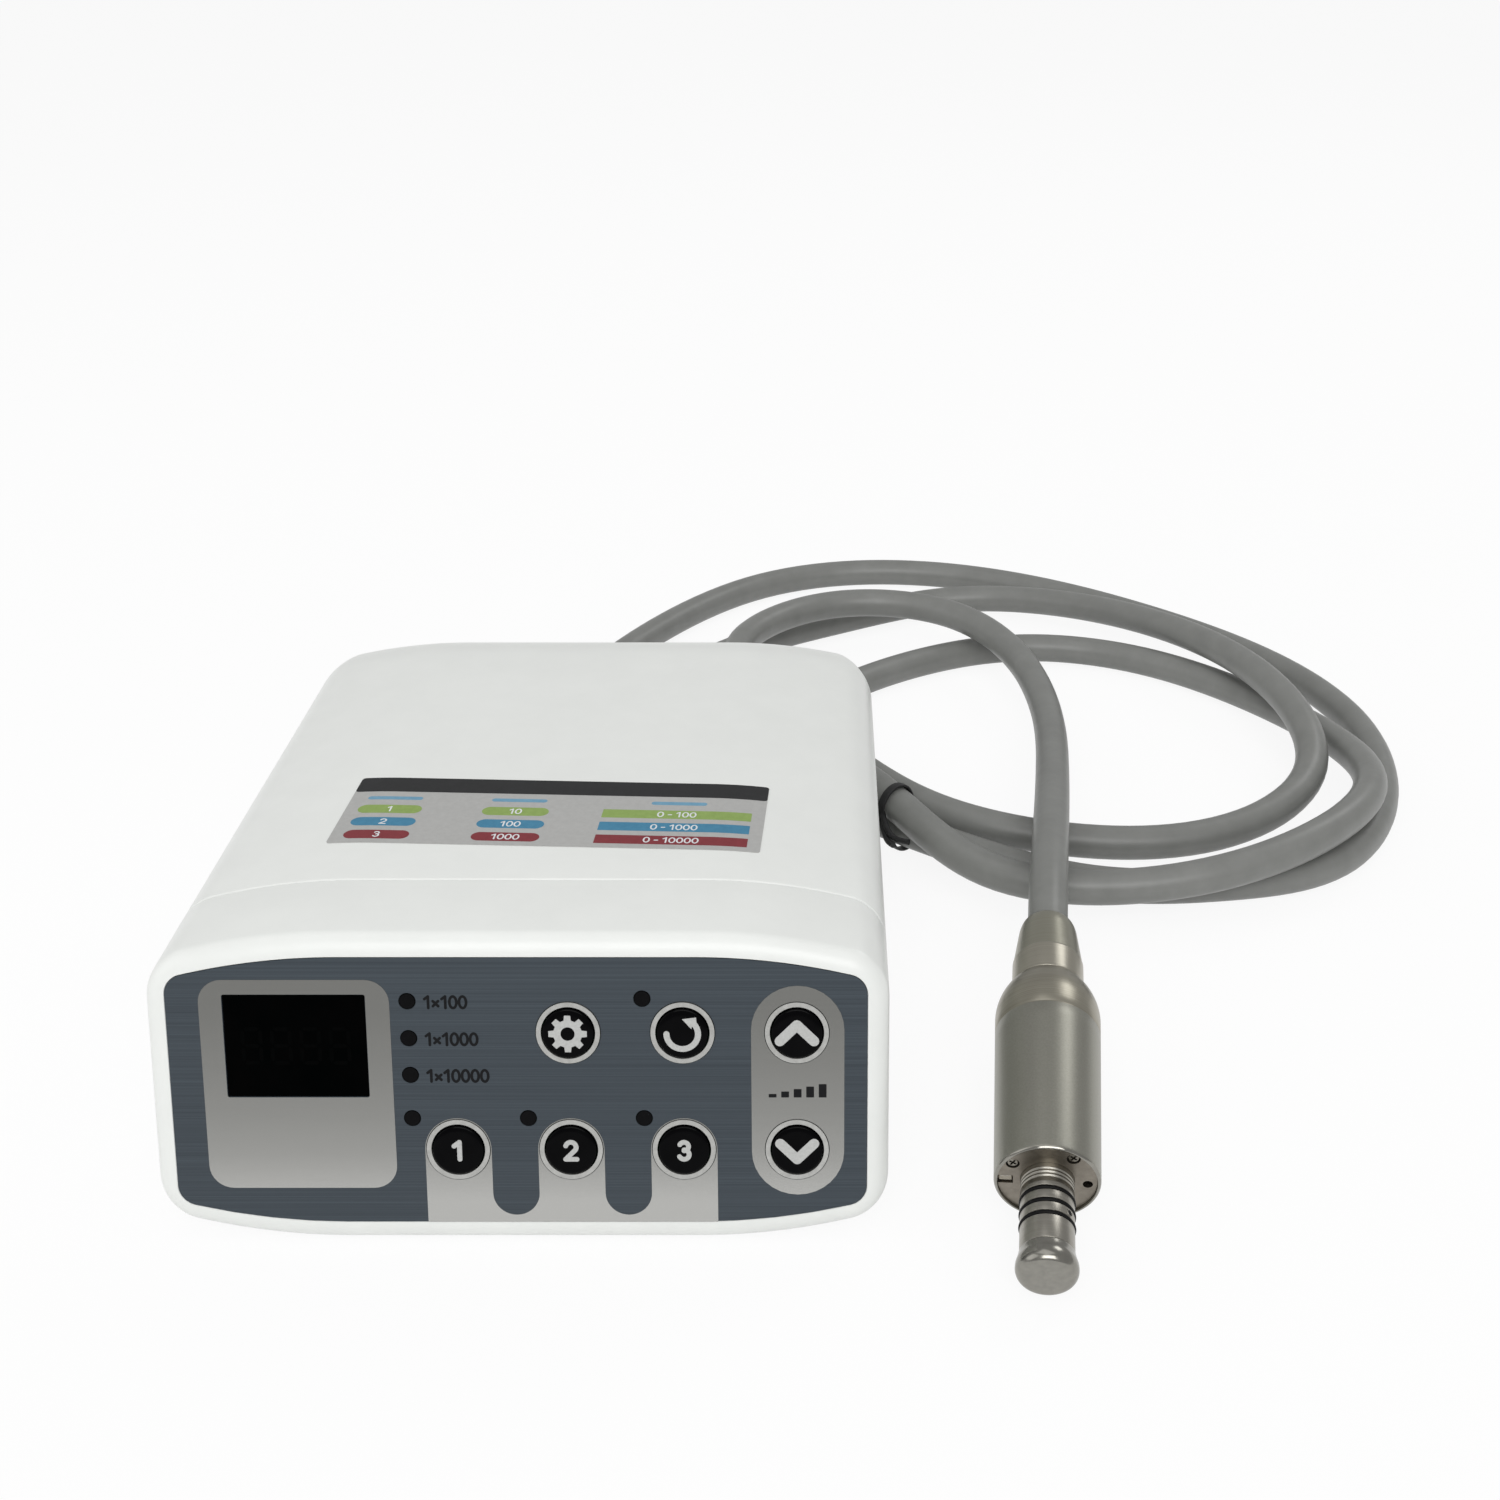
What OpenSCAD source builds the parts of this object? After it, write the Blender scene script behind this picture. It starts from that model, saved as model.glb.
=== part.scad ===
// Desktop dental micromotor: control console, motor handpiece and the silicone hose between them.
// Millimetres, +Z up. The origin lies on the table, at the middle of the footprint of
// the console and the handpiece. The console's front looks along -Y.

/* [Console] */
// Widest width of the console
console_w = 142; // [134:1:160]
// Height of the console's housing, without its feet
console_h = 60; // [55:1:70]
// Depth of the console at its base
console_d = 167; // [150:1:190]
// How far the front leans back, in degrees
panel_lean = 15; // [10:1:18]
// Depth of the front bezel, from its face to the seam
bezel_d = 21.5; // [18:0.5:22]
// Rounding of the housing's four long corners
corner_r = 9.5; // [8:0.5:12]
// How far the top and bottom fall away towards the corners
bow = 3; // [1.5:0.1:4]
// Wall of the housing
wall = 2.5; // [2:0.1:3.5]
// Rounding of the bezel's front edge
edge_r = 3; // [2:0.5:5]
// Rounding of the rear corners, seen from above
back_corner_r = 17; // [12:1:20]
// Rounding of the rear edge, seen from the side
back_edge_r = 5.5; // [4:0.5:10]
// Width of the groove between bezel and cover
seam_gap = 0.4; // [0.2:0.1:0.8]
// Height at which cover and base tray part
parting_z = 13; // [11:0.5:13.5]
// Length of the bezel's lip inside the cover
lip_l = 3; // [2:0.5:5]
// Thickness of the bezel's lip
lip_t = 1.2; // [1:0.1:2]
// How far the rear panel is set in
rear_recess = 6; // [4:0.5:8]

/* [Front panel] */
// Bezel left bare at each side of the slate overlay
overlay_side = 4.1; // [3.5:0.1:5.5]
// Bezel left bare above and below the overlay
overlay_edge = 4.1; // [3:0.1:5]
// Thickness of the overlay
overlay_t = 0.8; // [0.5:0.1:1.2]
// Thickness of the bezel's face behind the overlay
face_t = 2.2; // [1.8:0.1:3]
// Diameter of a key
key_d = 9.8; // [8.5:0.1:10.2]
// Outer diameter of the pale rim round a key
key_rim_d = 12.2; // [11.6:0.1:13]
// Distance between neighbouring keys across the panel
key_pitch_x = 21.8; // [21:0.1:22.4]
// Distance between the two rows of keys
key_pitch_y = 23.7; // [22:0.1:25]
// Press travel of a key
key_travel = 0.5; // [0.3:0.1:0.6]
// How far a key stands proud of the overlay
key_proud = 0.7; // [0.6:0.1:1.2]
// Diameter of an indicator lens
lens_d = 3; // [2:0.1:3.4]
// Width of the display window
display_w = 27.2; // [22:0.1:28]
// Height of the display window
display_h = 20.6; // [16:0.1:21]

/* [Electronics] */
// Width of the main board
board_w = 88; // [76:1:92]
// Depth of the main board
board_d = 84; // [70:1:90]
// Thickness of both boards
board_t = 1.6; // [1:0.1:2]
// Height of the main board above the base tray's underside
board_z = 12; // [10:0.5:14]
// Width of the keypad board
keypad_w = 112; // [110:1:114]
// Height of the keypad board
keypad_h = 41; // [40:0.5:42]

/* [Rear fittings] */
// Width of the rear panel
rear_w = 100; // [96:1:104]
// Height of the rear panel
rear_h = 26; // [25:0.5:27]
// Thickness of the rear panel
rear_t = 2; // [1.5:0.1:3]
// Width of the power switch opening
switch_w = 13; // [10:0.5:15]
// Height of the power switch opening
switch_h = 19; // [17:0.5:20]
// Angle from off to on of the rocker, in degrees
rocker_throw = 16; // [10:1:20]
// Bore of the direct-current inlet
inlet_d = 5.5; // [4.5:0.1:6.5]
// Outer diameter of the inlet's threaded barrel
inlet_barrel_d = 8; // [7.5:0.1:10]
// Diameter of the four-hole coupling's stem
coupling_d = 9.4; // [8.6:0.1:11]
// Length of the coupling's stem outside the rear panel
coupling_l = 12.5; // [11:0.5:13]
// Length of the strain relief outside its nut
relief_l = 24; // [20:1:40]

/* [Handpiece] */
// Diameter of the motor sleeve at its front rim
sleeve_front_d = 21; // [20:0.1:24]
// Largest diameter of the motor sleeve, near its rear
sleeve_rear_d = 22.6; // [21:0.1:25]
// Length of the sleeve's straight taper
sleeve_l = 44; // [43:0.5:50]
// Length of the rounded shoulder behind it
shoulder_l = 10; // [9:0.5:13]
// Diameter of the hose ferrule
ferrule_d = 15.7; // [15:0.1:17]
// Length of the ferrule behind the shoulder
ferrule_l = 21; // [18:0.5:26]
// Diameter of the coupling nose
nose_d = 10.6; // [10:0.1:12]
// Length of the nose in front of the rim
nose_l = 21; // [20:0.5:26]
// Bore of the nose
nose_bore_d = 6.4; // [6:0.1:7]
// Outer diameter of the dust cap
cap_d = 11.9; // [11.7:0.1:13.5]
// Length of the dust cap
cap_l = 5.2; // [5:0.1:8]
// Thickness of the dust cap's end wall
cap_end_t = 1.5; // [1:0.1:2]
// Bore of the sleeve, in which the motor sits
motor_bore_d = 18; // [17:0.1:18.4]
// Diameter of the rotor magnet
rotor_d = 7.6; // [6:0.1:8]
// Diameter of the motor shaft
shaft_d = 3; // [2.5:0.1:3.5]
// Tilt of the resting handpiece, nose down, in degrees
handpiece_pitch = 10; // [8:0.5:11]
// Turn of the resting handpiece, in degrees
handpiece_yaw = 6; // [0:0.5:10]

/* [Hose] */
// Outer diameter of the hose
hose_d = 9.2; // [8:0.1:9.4]

/* [Hidden] */
$fn = 48;
// Overlap that makes a cut pass clean through a face
eps = 0.5;

// Place of the console: its middle across, and the front edge of its base
console_x = -23.7;
console_front_y = -78.5;
foot_h = 0.6;
foot_d = 14;
foot_depth = 2.5;
foot_inset_x = 24;
foot_inset_front = 36.5;
foot_inset_back = 26;

// Fits between pieces
slip = 0.15;
key_clear = 0.3;
bore_fit = 0.05;
running_fit = 0.03;

// Cross-section of the housing: upright sides, round corners, and a top and bottom that fall away
// outside a flat middle
flat_half = 0.24 * console_w;
bow_curve = bow / pow(console_w / 2 - corner_r - flat_half, 2);
corner_min_r = 3;
corner_steps = 5;
bow_steps = 4;
section_n = 4 * (corner_steps + 1 + bow_steps);
edge_steps = 4;
back_steps = 5;

function fall(x) = bow_curve * pow(max(0, x - flat_half), 2);
function fall_angle(x) = atan(2 * bow_curve * max(0, x - flat_half));
// Upper right quarter, from the side up and round to the flat middle
function quarter(half_w, half_h, r) = let (
        x_mid = half_w - r,
        slope = fall_angle(x_mid + r * sin(fall_angle(x_mid))),
        x_end = x_mid + r * sin(slope),
        z_mid = half_h - fall(x_end) - r * cos(slope))
    concat(
        [for (i = [0 : corner_steps]) let (a = (90 - slope) * i / corner_steps)
            [x_mid + r * cos(a), z_mid + r * sin(a)]],
        [for (i = [1 : bow_steps]) let (x = x_end + (flat_half - x_end) * i / bow_steps)
            [x, half_h - fall(x)]]);
function section(half_w, half_h, r) = let (
        up = quarter(half_w, half_h, r),
        last = len(up) - 1)
    concat(up, [for (i = [last : -1 : 0]) [-up[i][0], up[i][1]]],
        [for (p = up) [-p[0], -p[1]]], [for (i = [last : -1 : 0]) [up[i][0], -up[i][1]]]);

// The front leans back, and the lean fades to nothing at the rear
function lean_at(y) = tan(panel_lean)
    * (1 - min(1, max(0, (y - bezel_d) / (console_d - back_corner_r - bezel_d))));

// A ring of the housing is its depth and how far its sides and its top and bottom draw in
function ring_points(ring, shrink) = let (outline = section(console_w / 2 - ring[1] - shrink,
        console_h / 2 - ring[2] - shrink, max(corner_min_r, corner_r - ring[1] - shrink)))
    [for (p = outline) let (z = console_h / 2 + p[1]) [p[0], ring[0] + lean_at(ring[0]) * z, z]];

// Side faces between neighbouring rings of n points, and the two end caps
function loft_sides(rings, n) = [for (j = [0 : rings - 2]) for (i = [0 : n - 1])
    let (k = (i + 1) % n)
    each [[j * n + i, j * n + k, (j + 1) * n + k], [j * n + i, (j + 1) * n + k, (j + 1) * n + i]]];
function loft_caps(rings, n) = [[for (i = [n - 1 : -1 : 0]) i], [for (i = [0 : n - 1]) (rings - 1) * n + i]];

module loft(rings, shrink = 0) {
    points = [for (ring = rings) each ring_points(ring, shrink)];
    faces = concat(loft_sides(len(rings), section_n), loft_caps(len(rings), section_n));
    polyhedron(points = points, faces = faces, convexity = 6);
}

bezel_rings = concat(
    [for (k = [0 : edge_steps]) let (a = 90 * k / edge_steps)
        [edge_r * (1 - cos(a)), edge_r * (1 - sin(a)), edge_r * (1 - sin(a))]],
    [[bezel_d, 0, 0]]);
body_rings = concat(
    [[bezel_d + seam_gap, 0, 0]],
    [for (k = [0 : back_steps]) let (a = 90 * k / back_steps)
        [console_d - back_corner_r * (1 - sin(a)), back_corner_r * (1 - cos(a)), back_edge_r * (1 - cos(a))]]);
// The hollow follows the outside, one wall further in
hollow_rings = concat(
    [[bezel_d - eps, 0, 0]],
    [for (k = [0 : back_steps]) let (a = 90 * k / back_steps)
        [console_d - wall - (back_corner_r - wall) * (1 - sin(a)),
            (back_corner_r - wall) * (1 - cos(a)), (back_edge_r - wall) * (1 - cos(a))]]);

// Depths behind the overlay's face, along the leaning front's normal
face_back = overlay_t + face_t;
key_flange_t = 1;
key_flange_extra = 0.9;
key_flange_gap = 0.1;
switch_gap = 0.3;
switch_size = 6;
switch_body_h = 3;
key_stem_d = 3;
key_stem_l = 2.3;
key_back = face_back + key_flange_gap + key_flange_t + key_stem_l;
keypad_depth = key_back + key_travel + switch_gap + switch_body_h;

// Places on the panel: right and up from the middle of the leaning front
overlay_v = 0.3;
overlay_corner_r = 4.2;
overlay_w = console_w - 2 * overlay_side;
overlay_h = console_h / cos(panel_lean) - 2 * overlay_edge;
key_row_v = 12.2;
key_col_u = -12.1;
lens_side = 8.6;
lens_rise = 6.4;
lens_spread = 0.5;
lens_top_v = 18.5;
lens_step_v = 7.4;
lens_col_u = key_col_u - lens_side;
memory_lens_v = key_row_v - key_pitch_y + lens_rise;
reverse_lens_v = 19;
lens_pitch = key_pitch_x + lens_spread;
display_u = -42.3;
display_v = 9.5;
display_ledge = 1;
function key_u(column) = key_col_u + column * key_pitch_x;
function key_v(row) = key_row_v - row * key_pitch_y;
KEYS = [[1, 0], [2, 0], [3, 0], [3, 1], [0, 1], [1, 1], [2, 1]];
LENSES = concat(
    [for (row = [0 : 2]) [lens_col_u, lens_top_v - row * lens_step_v]],
    [for (column = [0 : 2]) [lens_col_u + column * lens_pitch, memory_lens_v]],
    [[lens_col_u + 2 * lens_pitch, reverse_lens_v]]);
keypad_post_d = 6;
keypad_post_v = 16.5;
KEYPAD_POSTS = [[-51, 3 - keypad_post_v], [-6, keypad_post_v], [key_u(2.5), keypad_post_v],
    [key_u(2.5), -keypad_post_v]];
screw_d = 2.6;
screw_head_d = 5;
screw_head_h = 1.8;

module on_console() {
    translate([console_x, console_front_y, foot_h]) children();
}

// Local x runs right, y up the leaning front and z out of it
module on_panel() {
    on_console()
        translate([0, tan(panel_lean) * console_h / 2, console_h / 2])
            rotate([90 - panel_lean, 0, 0]) children();
}

module at_panel(place, depth) {
    translate([place[0], place[1], -depth]) children();
}

// Disc from one depth behind the overlay's face to another
module panel_disc(place, d, from, to) {
    at_panel(place, to) cylinder(d = d, h = to - from);
}

module overlay_outline(gap) {
    translate([0, overlay_v])
        polygon(section(overlay_w / 2 - gap, overlay_h / 2 - gap, overlay_corner_r - gap));
}

module front_bezel() {
    color("white") difference() {
        union() {
            on_console() loft(bezel_rings);
            on_console() loft([[bezel_d - eps, 0, 0], [bezel_d + lip_l, 0, 0]], wall + slip);
        }
        // Hollow behind the face, narrower at the lip
        difference() {
            on_console() loft([[0, 0, 0], [bezel_d - lip_l, 0, 0]], wall);
            on_panel() at_panel([0, 0], face_back) translate([-console_w, -console_h, 0])
                cube([2 * console_w, 2 * console_h, console_d]);
            on_panel() for (post = KEYPAD_POSTS) panel_disc(post, keypad_post_d, 0, keypad_depth);
        }
        on_console() loft([[bezel_d - lip_l - eps, 0, 0], [bezel_d + lip_l + eps, 0, 0]], wall + slip + lip_t);
        on_panel() at_panel([0, 0], overlay_t) linear_extrude(overlay_t + eps) overlay_outline(0);
        on_panel() for (key = KEYS)
            panel_disc([key_u(key[0]), key_v(key[1])], key_d + 2 * key_clear, 0, face_back + eps);
        on_panel() for (lens = LENSES) panel_disc(lens, lens_d + 2 * slip, 0, face_back + eps);
        on_panel() for (post = KEYPAD_POSTS) panel_disc(post, screw_d, face_back, keypad_depth + eps);
        on_panel() at_panel([display_u, display_v], face_back + eps)
            translate([display_ledge - display_w / 2, display_ledge - display_h / 2])
                cube([display_w - 2 * display_ledge, display_h - 2 * display_ledge, face_back + eps]);
    }
}

// Column of the cover under which a base screw holds the tray
boss_d = 8;
boss_inset_x = 19;
boss_front_y = 46;
boss_back_inset = 30;
BOSSES = [for (x = [boss_inset_x - console_w / 2, console_w / 2 - boss_inset_x])
    for (y = [boss_front_y, console_d - boss_back_inset]) [x, y]];
base_screw_l = 16;
base_floor_z = wall + 1;

module above_parting() {
    translate([-console_w, 0, parting_z]) cube([2 * console_w, 2 * console_d, 2 * console_h]);
}

module below_parting() {
    translate([-console_w, 0, -console_h]) cube([2 * console_w, 2 * console_d, console_h + parting_z]);
}

// Rear panel opening, centred on the rear wall
rear_z = console_h / 2;
rear_corner_r = 4;
rear_ledge = 2;
rear_face_y = console_d - rear_recess;

module rear_outline(grow) {
    w = rear_w + 2 * grow;
    h = rear_h + 2 * grow;
    r = rear_corner_r + grow;
    union() {
        square([w - 2 * r, h], center = true);
        square([w, h - 2 * r], center = true);
        for (x = [r - w / 2, w / 2 - r]) for (y = [r - h / 2, h / 2 - r]) translate([x, y]) circle(r);
    }
}

// Prism of the rear panel's outline, from one depth of the console to another
module rear_prism(grow, from, to) {
    translate([0, to, rear_z]) rotate([90, 0, 0]) linear_extrude(to - from) rear_outline(grow);
}

module top_cover() {
    color("white") on_console() difference() {
        union() {
            intersection() {
                difference() {
                    loft(body_rings);
                    loft(hollow_rings, wall);
                }
                above_parting();
            }
            intersection() {
                for (b = BOSSES) translate([b[0], b[1], parting_z]) cylinder(d = boss_d, h = console_h);
                loft(body_rings, wall / 2);
            }
            // Tub that the rear panel is set into
            intersection() {
                rear_prism(wall, rear_face_y - rear_t - wall, console_d);
                loft(body_rings, wall / 2);
            }
        }
        rear_prism(slip, rear_face_y - rear_t, console_d + eps);
        rear_prism(-rear_ledge, rear_face_y - rear_t - wall - eps, console_d);
        for (b = BOSSES) translate([b[0], b[1], parting_z - eps])
            cylinder(d = screw_d, h = base_screw_l - parting_z + base_floor_z + 2 * eps);
    }
}

board_front_y = 42;
post_d = 7;
post_inset = 5;
POSTS = [for (x = [post_inset - board_w / 2, board_w / 2 - post_inset])
    for (y = [board_front_y + post_inset, board_front_y + board_d - post_inset]) [x, y]];
board_screw_l = 6;
FEET = [for (x = [foot_inset_x - console_w / 2, console_w / 2 - foot_inset_x])
    for (y = [foot_inset_front, console_d - foot_inset_back]) [x, y]];

module base_tray() {
    color("whitesmoke") on_console() difference() {
        union() {
            intersection() {
                difference() {
                    loft(body_rings);
                    loft(hollow_rings, wall);
                }
                below_parting();
            }
            intersection() {
                union() {
                    for (b = BOSSES) translate([b[0], b[1], 0]) cylinder(d = boss_d, h = parting_z);
                    for (p = POSTS) translate([p[0], p[1], 0]) cylinder(d = post_d, h = board_z);
                    for (f = FEET) translate([f[0], f[1], 0])
                        cylinder(d = foot_d + 2 * wall, h = foot_depth + wall);
                }
                loft(body_rings, wall / 2);
            }
        }
        for (b = BOSSES) {
            translate([b[0], b[1], -eps]) cylinder(d = screw_d + 2 * slip, h = parting_z + 2 * eps);
            translate([b[0], b[1], -eps])
                cylinder(d = screw_head_d + 2 * slip, h = base_floor_z + screw_head_h);
        }
        for (p = POSTS) translate([p[0], p[1], board_z - board_screw_l])
            cylinder(d = screw_d, h = board_screw_l + eps);
        for (f = FEET) translate([f[0], f[1], -eps]) cylinder(d = foot_d + 2 * slip, h = foot_depth + eps);
    }
}

// Round-headed screw, its head above z = 0 and its shank below
module screw(length) {
    difference() {
        cylinder(d = screw_head_d, h = screw_head_h);
        for (turn = [0, 90]) rotate(turn) translate([-1.4, -0.35, screw_head_h - 1]) cube([2.8, 0.7, 2]);
    }
    translate([0, 0, -length]) cylinder(d = screw_d - 2 * bore_fit, h = length);
}

module base_screws() {
    color("silver") on_console() for (b = BOSSES)
        translate([b[0], b[1], base_floor_z + screw_head_h - eps]) rotate([180, 0, 0])
            screw(base_screw_l - screw_head_h);
}

module board_screws() {
    color("silver") on_console() for (p = POSTS)
        translate([p[0], p[1], board_z + board_t]) screw(board_t + board_screw_l - eps);
}

module keypad_screws() {
    color("silver") on_panel() for (post = KEYPAD_POSTS)
        at_panel(post, keypad_depth + board_t) rotate([180, 0, 0])
            screw(board_t + keypad_depth - face_back - eps);
}

module rubber_feet() {
    color("dimgray") on_console() for (f = FEET) translate([f[0], f[1], -foot_h]) {
        cylinder(d1 = foot_d - 2, d2 = foot_d, h = foot_h);
        translate([0, 0, foot_h]) cylinder(d = foot_d, h = foot_depth);
    }
}

module panel_overlay() {
    color("slategray") on_panel() difference() {
        at_panel([0, 0], overlay_t) linear_extrude(overlay_t) overlay_outline(slip);
        for (key = KEYS)
            panel_disc([key_u(key[0]), key_v(key[1])], key_rim_d + 2 * slip, -eps, overlay_t + eps);
        for (lens = LENSES) panel_disc(lens, lens_d + 2 * slip, -eps, overlay_t + eps);
        at_panel([display_u, display_v], overlay_t + eps) translate([-display_w / 2, -display_h / 2])
            cube([display_w, display_h, overlay_t + 2 * eps]);
    }
}

module display_window() {
    color([0.05, 0.05, 0.07]) on_panel() at_panel([display_u, display_v], overlay_t)
        translate([slip - display_w / 2, slip - display_h / 2])
            cube([display_w - 2 * slip, display_h - 2 * slip, overlay_t - slip]);
}

digit_gap = 0.4;
module display_module() {
    color("dimgray") on_panel() at_panel([display_u, display_v], keypad_depth)
        translate([-display_w / 2, -display_h / 2])
            cube([display_w, display_h, keypad_depth - face_back - digit_gap]);
}

// Key: domed head, a flange that keeps it in the bezel, and a stem over its switch
key_dome = 0.4;
module key(place) {
    flange_from = face_back + key_flange_gap;
    color([0.08, 0.08, 0.09]) on_panel() at_panel(place, key_back) rotate_extrude() polygon([
        [0, 0], [key_stem_d / 2, 0], [key_stem_d / 2, key_stem_l],
        [key_d / 2 + key_flange_extra, key_stem_l], [key_d / 2 + key_flange_extra, key_back - flange_from],
        [key_d / 2, key_back - flange_from], [key_d / 2, key_back + key_proud - key_dome],
        [key_d / 2 - key_dome, key_back + key_proud - key_dome / 4], [0, key_back + key_proud]]);
}

module button_gear() { key([key_u(1), key_v(0)]); }
module button_reverse() { key([key_u(2), key_v(0)]); }
module button_speed_up() { key([key_u(3), key_v(0)]); }
module button_speed_down() { key([key_u(3), key_v(1)]); }
module button_memory_1() { key([key_u(0), key_v(1)]); }
module button_memory_2() { key([key_u(1), key_v(1)]); }
module button_memory_3() { key([key_u(2), key_v(1)]); }

rim_proud = 0.2;
module button_rims() {
    color("gainsboro") on_panel() for (key = KEYS) difference() {
        panel_disc([key_u(key[0]), key_v(key[1])], key_rim_d, -rim_proud, overlay_t);
        panel_disc([key_u(key[0]), key_v(key[1])], key_d + 2 * key_clear, -eps, overlay_t + eps);
    }
}

lens_proud = 0.1;
module indicator_lenses() {
    color([0.1, 0.1, 0.12]) on_panel() for (lens = LENSES) panel_disc(lens, lens_d, -lens_proud, keypad_depth);
}

module keypad_board() {
    color("darkgreen") on_panel() difference() {
        at_panel([0, 0], keypad_depth + board_t) translate([-keypad_w / 2, -keypad_h / 2])
            cube([keypad_w, keypad_h, board_t]);
        for (post = KEYPAD_POSTS) panel_disc(post, screw_d, keypad_depth - eps, keypad_depth + board_t + eps);
    }
}

module key_switches() {
    color("black") on_panel() for (key = KEYS)
        at_panel([key_u(key[0]), key_v(key[1])], keypad_depth) translate([-switch_size / 2, -switch_size / 2])
            cube([switch_size, switch_size, switch_body_h]);
}

module main_board() {
    color("darkgreen") on_console() difference() {
        translate([-board_w / 2, board_front_y, board_z]) cube([board_w, board_d, board_t]);
        for (p = POSTS) translate([p[0], p[1], board_z - eps]) cylinder(d = screw_d, h = board_t + 2 * eps);
    }
}

board_top = board_z + board_t;
board_middle_y = board_front_y + board_d / 2;
board_part_gap = 1;
capacitor_d = 10;
capacitor_h = 18;
capacitors = 3;
capacitor_pitch = capacitor_d + board_part_gap;
// The row of capacitors ends above the right posts, and the heat sink fills the width that is left
capacitor_row_x = board_w / 2 - post_inset - capacitors * capacitor_pitch + board_part_gap;
module filter_capacitors() {
    color("midnightblue") on_console() for (i = [0 : capacitors - 1])
        translate([capacitor_row_x + capacitor_d / 2 + i * capacitor_pitch, board_middle_y, board_top])
            cylinder(d = capacitor_d, h = capacitor_h);
}

sink_x = 2 * post_d - board_w / 2;
sink_w = capacitor_row_x - board_part_gap - sink_x;
sink_d = 24;
sink_h = 16;
sink_fin_t = 1.6;
sink_fins = 7;
module heat_sink() {
    color("gray") on_console() translate([sink_x, board_middle_y, board_top]) {
        cube([sink_w, sink_d, 3]);
        for (i = [0 : sink_fins - 1]) translate([i * (sink_w - sink_fin_t) / (sink_fins - 1), 0, 0])
            cube([sink_fin_t, sink_d, sink_h]);
    }
}

header_w = 14;
header_d = 6;
header_h = 7;
header_gap = 1.5;
header_pitch = board_w / 2 - post_inset - screw_head_d / 2 - header_gap - header_w / 2;
module board_connectors() {
    color("ivory") on_console() for (i = [-1 : 1])
        translate([i * header_pitch - header_w / 2, board_front_y + 2, board_top])
            cube([header_w, header_d, header_h]);
}

label_w = 90;
label_d = 29;
label_t = 0.2;
label_turn = -2.5;
label_front = 51;
label_x = 1;
// Thin label laid on the cover's slightly bowed top
module top_label() {
    color("silver") on_console() intersection() {
        difference() {
            loft(body_rings, -label_t);
            loft(body_rings);
        }
        translate([label_x, label_front + label_d / 2, console_h / 2]) rotate(label_turn)
            translate([-label_w / 2, -label_d / 2]) cube([label_w, label_d, console_h]);
    }
}

// Rear fittings: places across the rear panel, from the console's middle
switch_x = 36;
inlet_x = 16;
gland_x = -20;
coupling_x = -40;
gland_z = rear_z - 4;
nut_d = 16;
nut_l = 7;
gland_thread_d = 13;
gland_thread_l = 3;

module on_rear(x, z) {
    on_console() translate([x, rear_face_y, z]) rotate([-90, 0, 0]) children();
}

// Hole through the rear panel with room round a stem of that diameter
module rear_hole(stem_d) {
    translate([0, 0, -rear_t - eps]) cylinder(d = stem_d + 2 * bore_fit, h = rear_t + 2 * eps);
}

module rear_panel() {
    color("whitesmoke") difference() {
        on_console() rear_prism(0, rear_face_y - rear_t, rear_face_y);
        on_rear(switch_x, rear_z) translate([-switch_w / 2, -switch_h / 2, -rear_t - eps])
            cube([switch_w, switch_h, rear_t + 2 * eps]);
        on_rear(inlet_x, rear_z) rear_hole(inlet_barrel_d);
        on_rear(gland_x, gland_z) rear_hole(gland_thread_d);
        on_rear(coupling_x, rear_z) rear_hole(coupling_thread_d);
    }
}

switch_frame = 1.6;
switch_lip = 1;
switch_depth = 16;
rocker_gap = 0.35;
rocker_r = 11;
rocker_sink = 2.4;
rocker_pin_d = 3;
rocker_w = switch_w - 2 * switch_frame - 2 * rocker_gap;
rocker_h = switch_h - 2 * switch_frame - 2 * rocker_gap;

module power_switch() {
    color([0.1, 0.1, 0.1]) on_rear(switch_x, rear_z) difference() {
        union() {
            translate([-switch_w / 2 - switch_lip, -switch_h / 2 - switch_lip, 0])
                cube([switch_w + 2 * switch_lip, switch_h + 2 * switch_lip, switch_lip]);
            translate([bore_fit - switch_w / 2, bore_fit - switch_h / 2, -switch_depth])
                cube([switch_w - 2 * bore_fit, switch_h - 2 * bore_fit, switch_depth]);
        }
        translate([switch_frame - switch_w / 2, switch_frame - switch_h / 2, -switch_depth + switch_frame])
            cube([switch_w - 2 * switch_frame, switch_h - 2 * switch_frame, switch_depth + switch_lip]);
        translate([-switch_w / 2 - eps, 0, -rocker_sink]) rotate([0, 90, 0])
            cylinder(d = rocker_pin_d + 2 * bore_fit, h = switch_w + 2 * eps);
    }
}

// Rocker on a cross pin: two faces that meet at a shallow angle, tilted to the off side
module power_rocker() {
    tilt = rocker_throw / 2;
    color([0.15, 0.15, 0.15]) on_rear(switch_x, rear_z) translate([0, 0, -rocker_sink]) rotate([tilt, 0, 0]) {
        rotate([0, -90, 0]) translate([0, 0, -rocker_w / 2]) linear_extrude(rocker_w) polygon([
            [-3.2, -3], [-3.2, 3], [1, rocker_h / 2 - 1], [rocker_sink + 1.6, rocker_h / 2 - 1.4],
            [rocker_sink + 0.4, 0], [rocker_sink + 1.6, 1.4 - rocker_h / 2], [1, 1 - rocker_h / 2]]);
        translate([-switch_w / 2, 0, 0]) rotate([0, 90, 0]) cylinder(d = rocker_pin_d, h = switch_w);
    }
}

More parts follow.
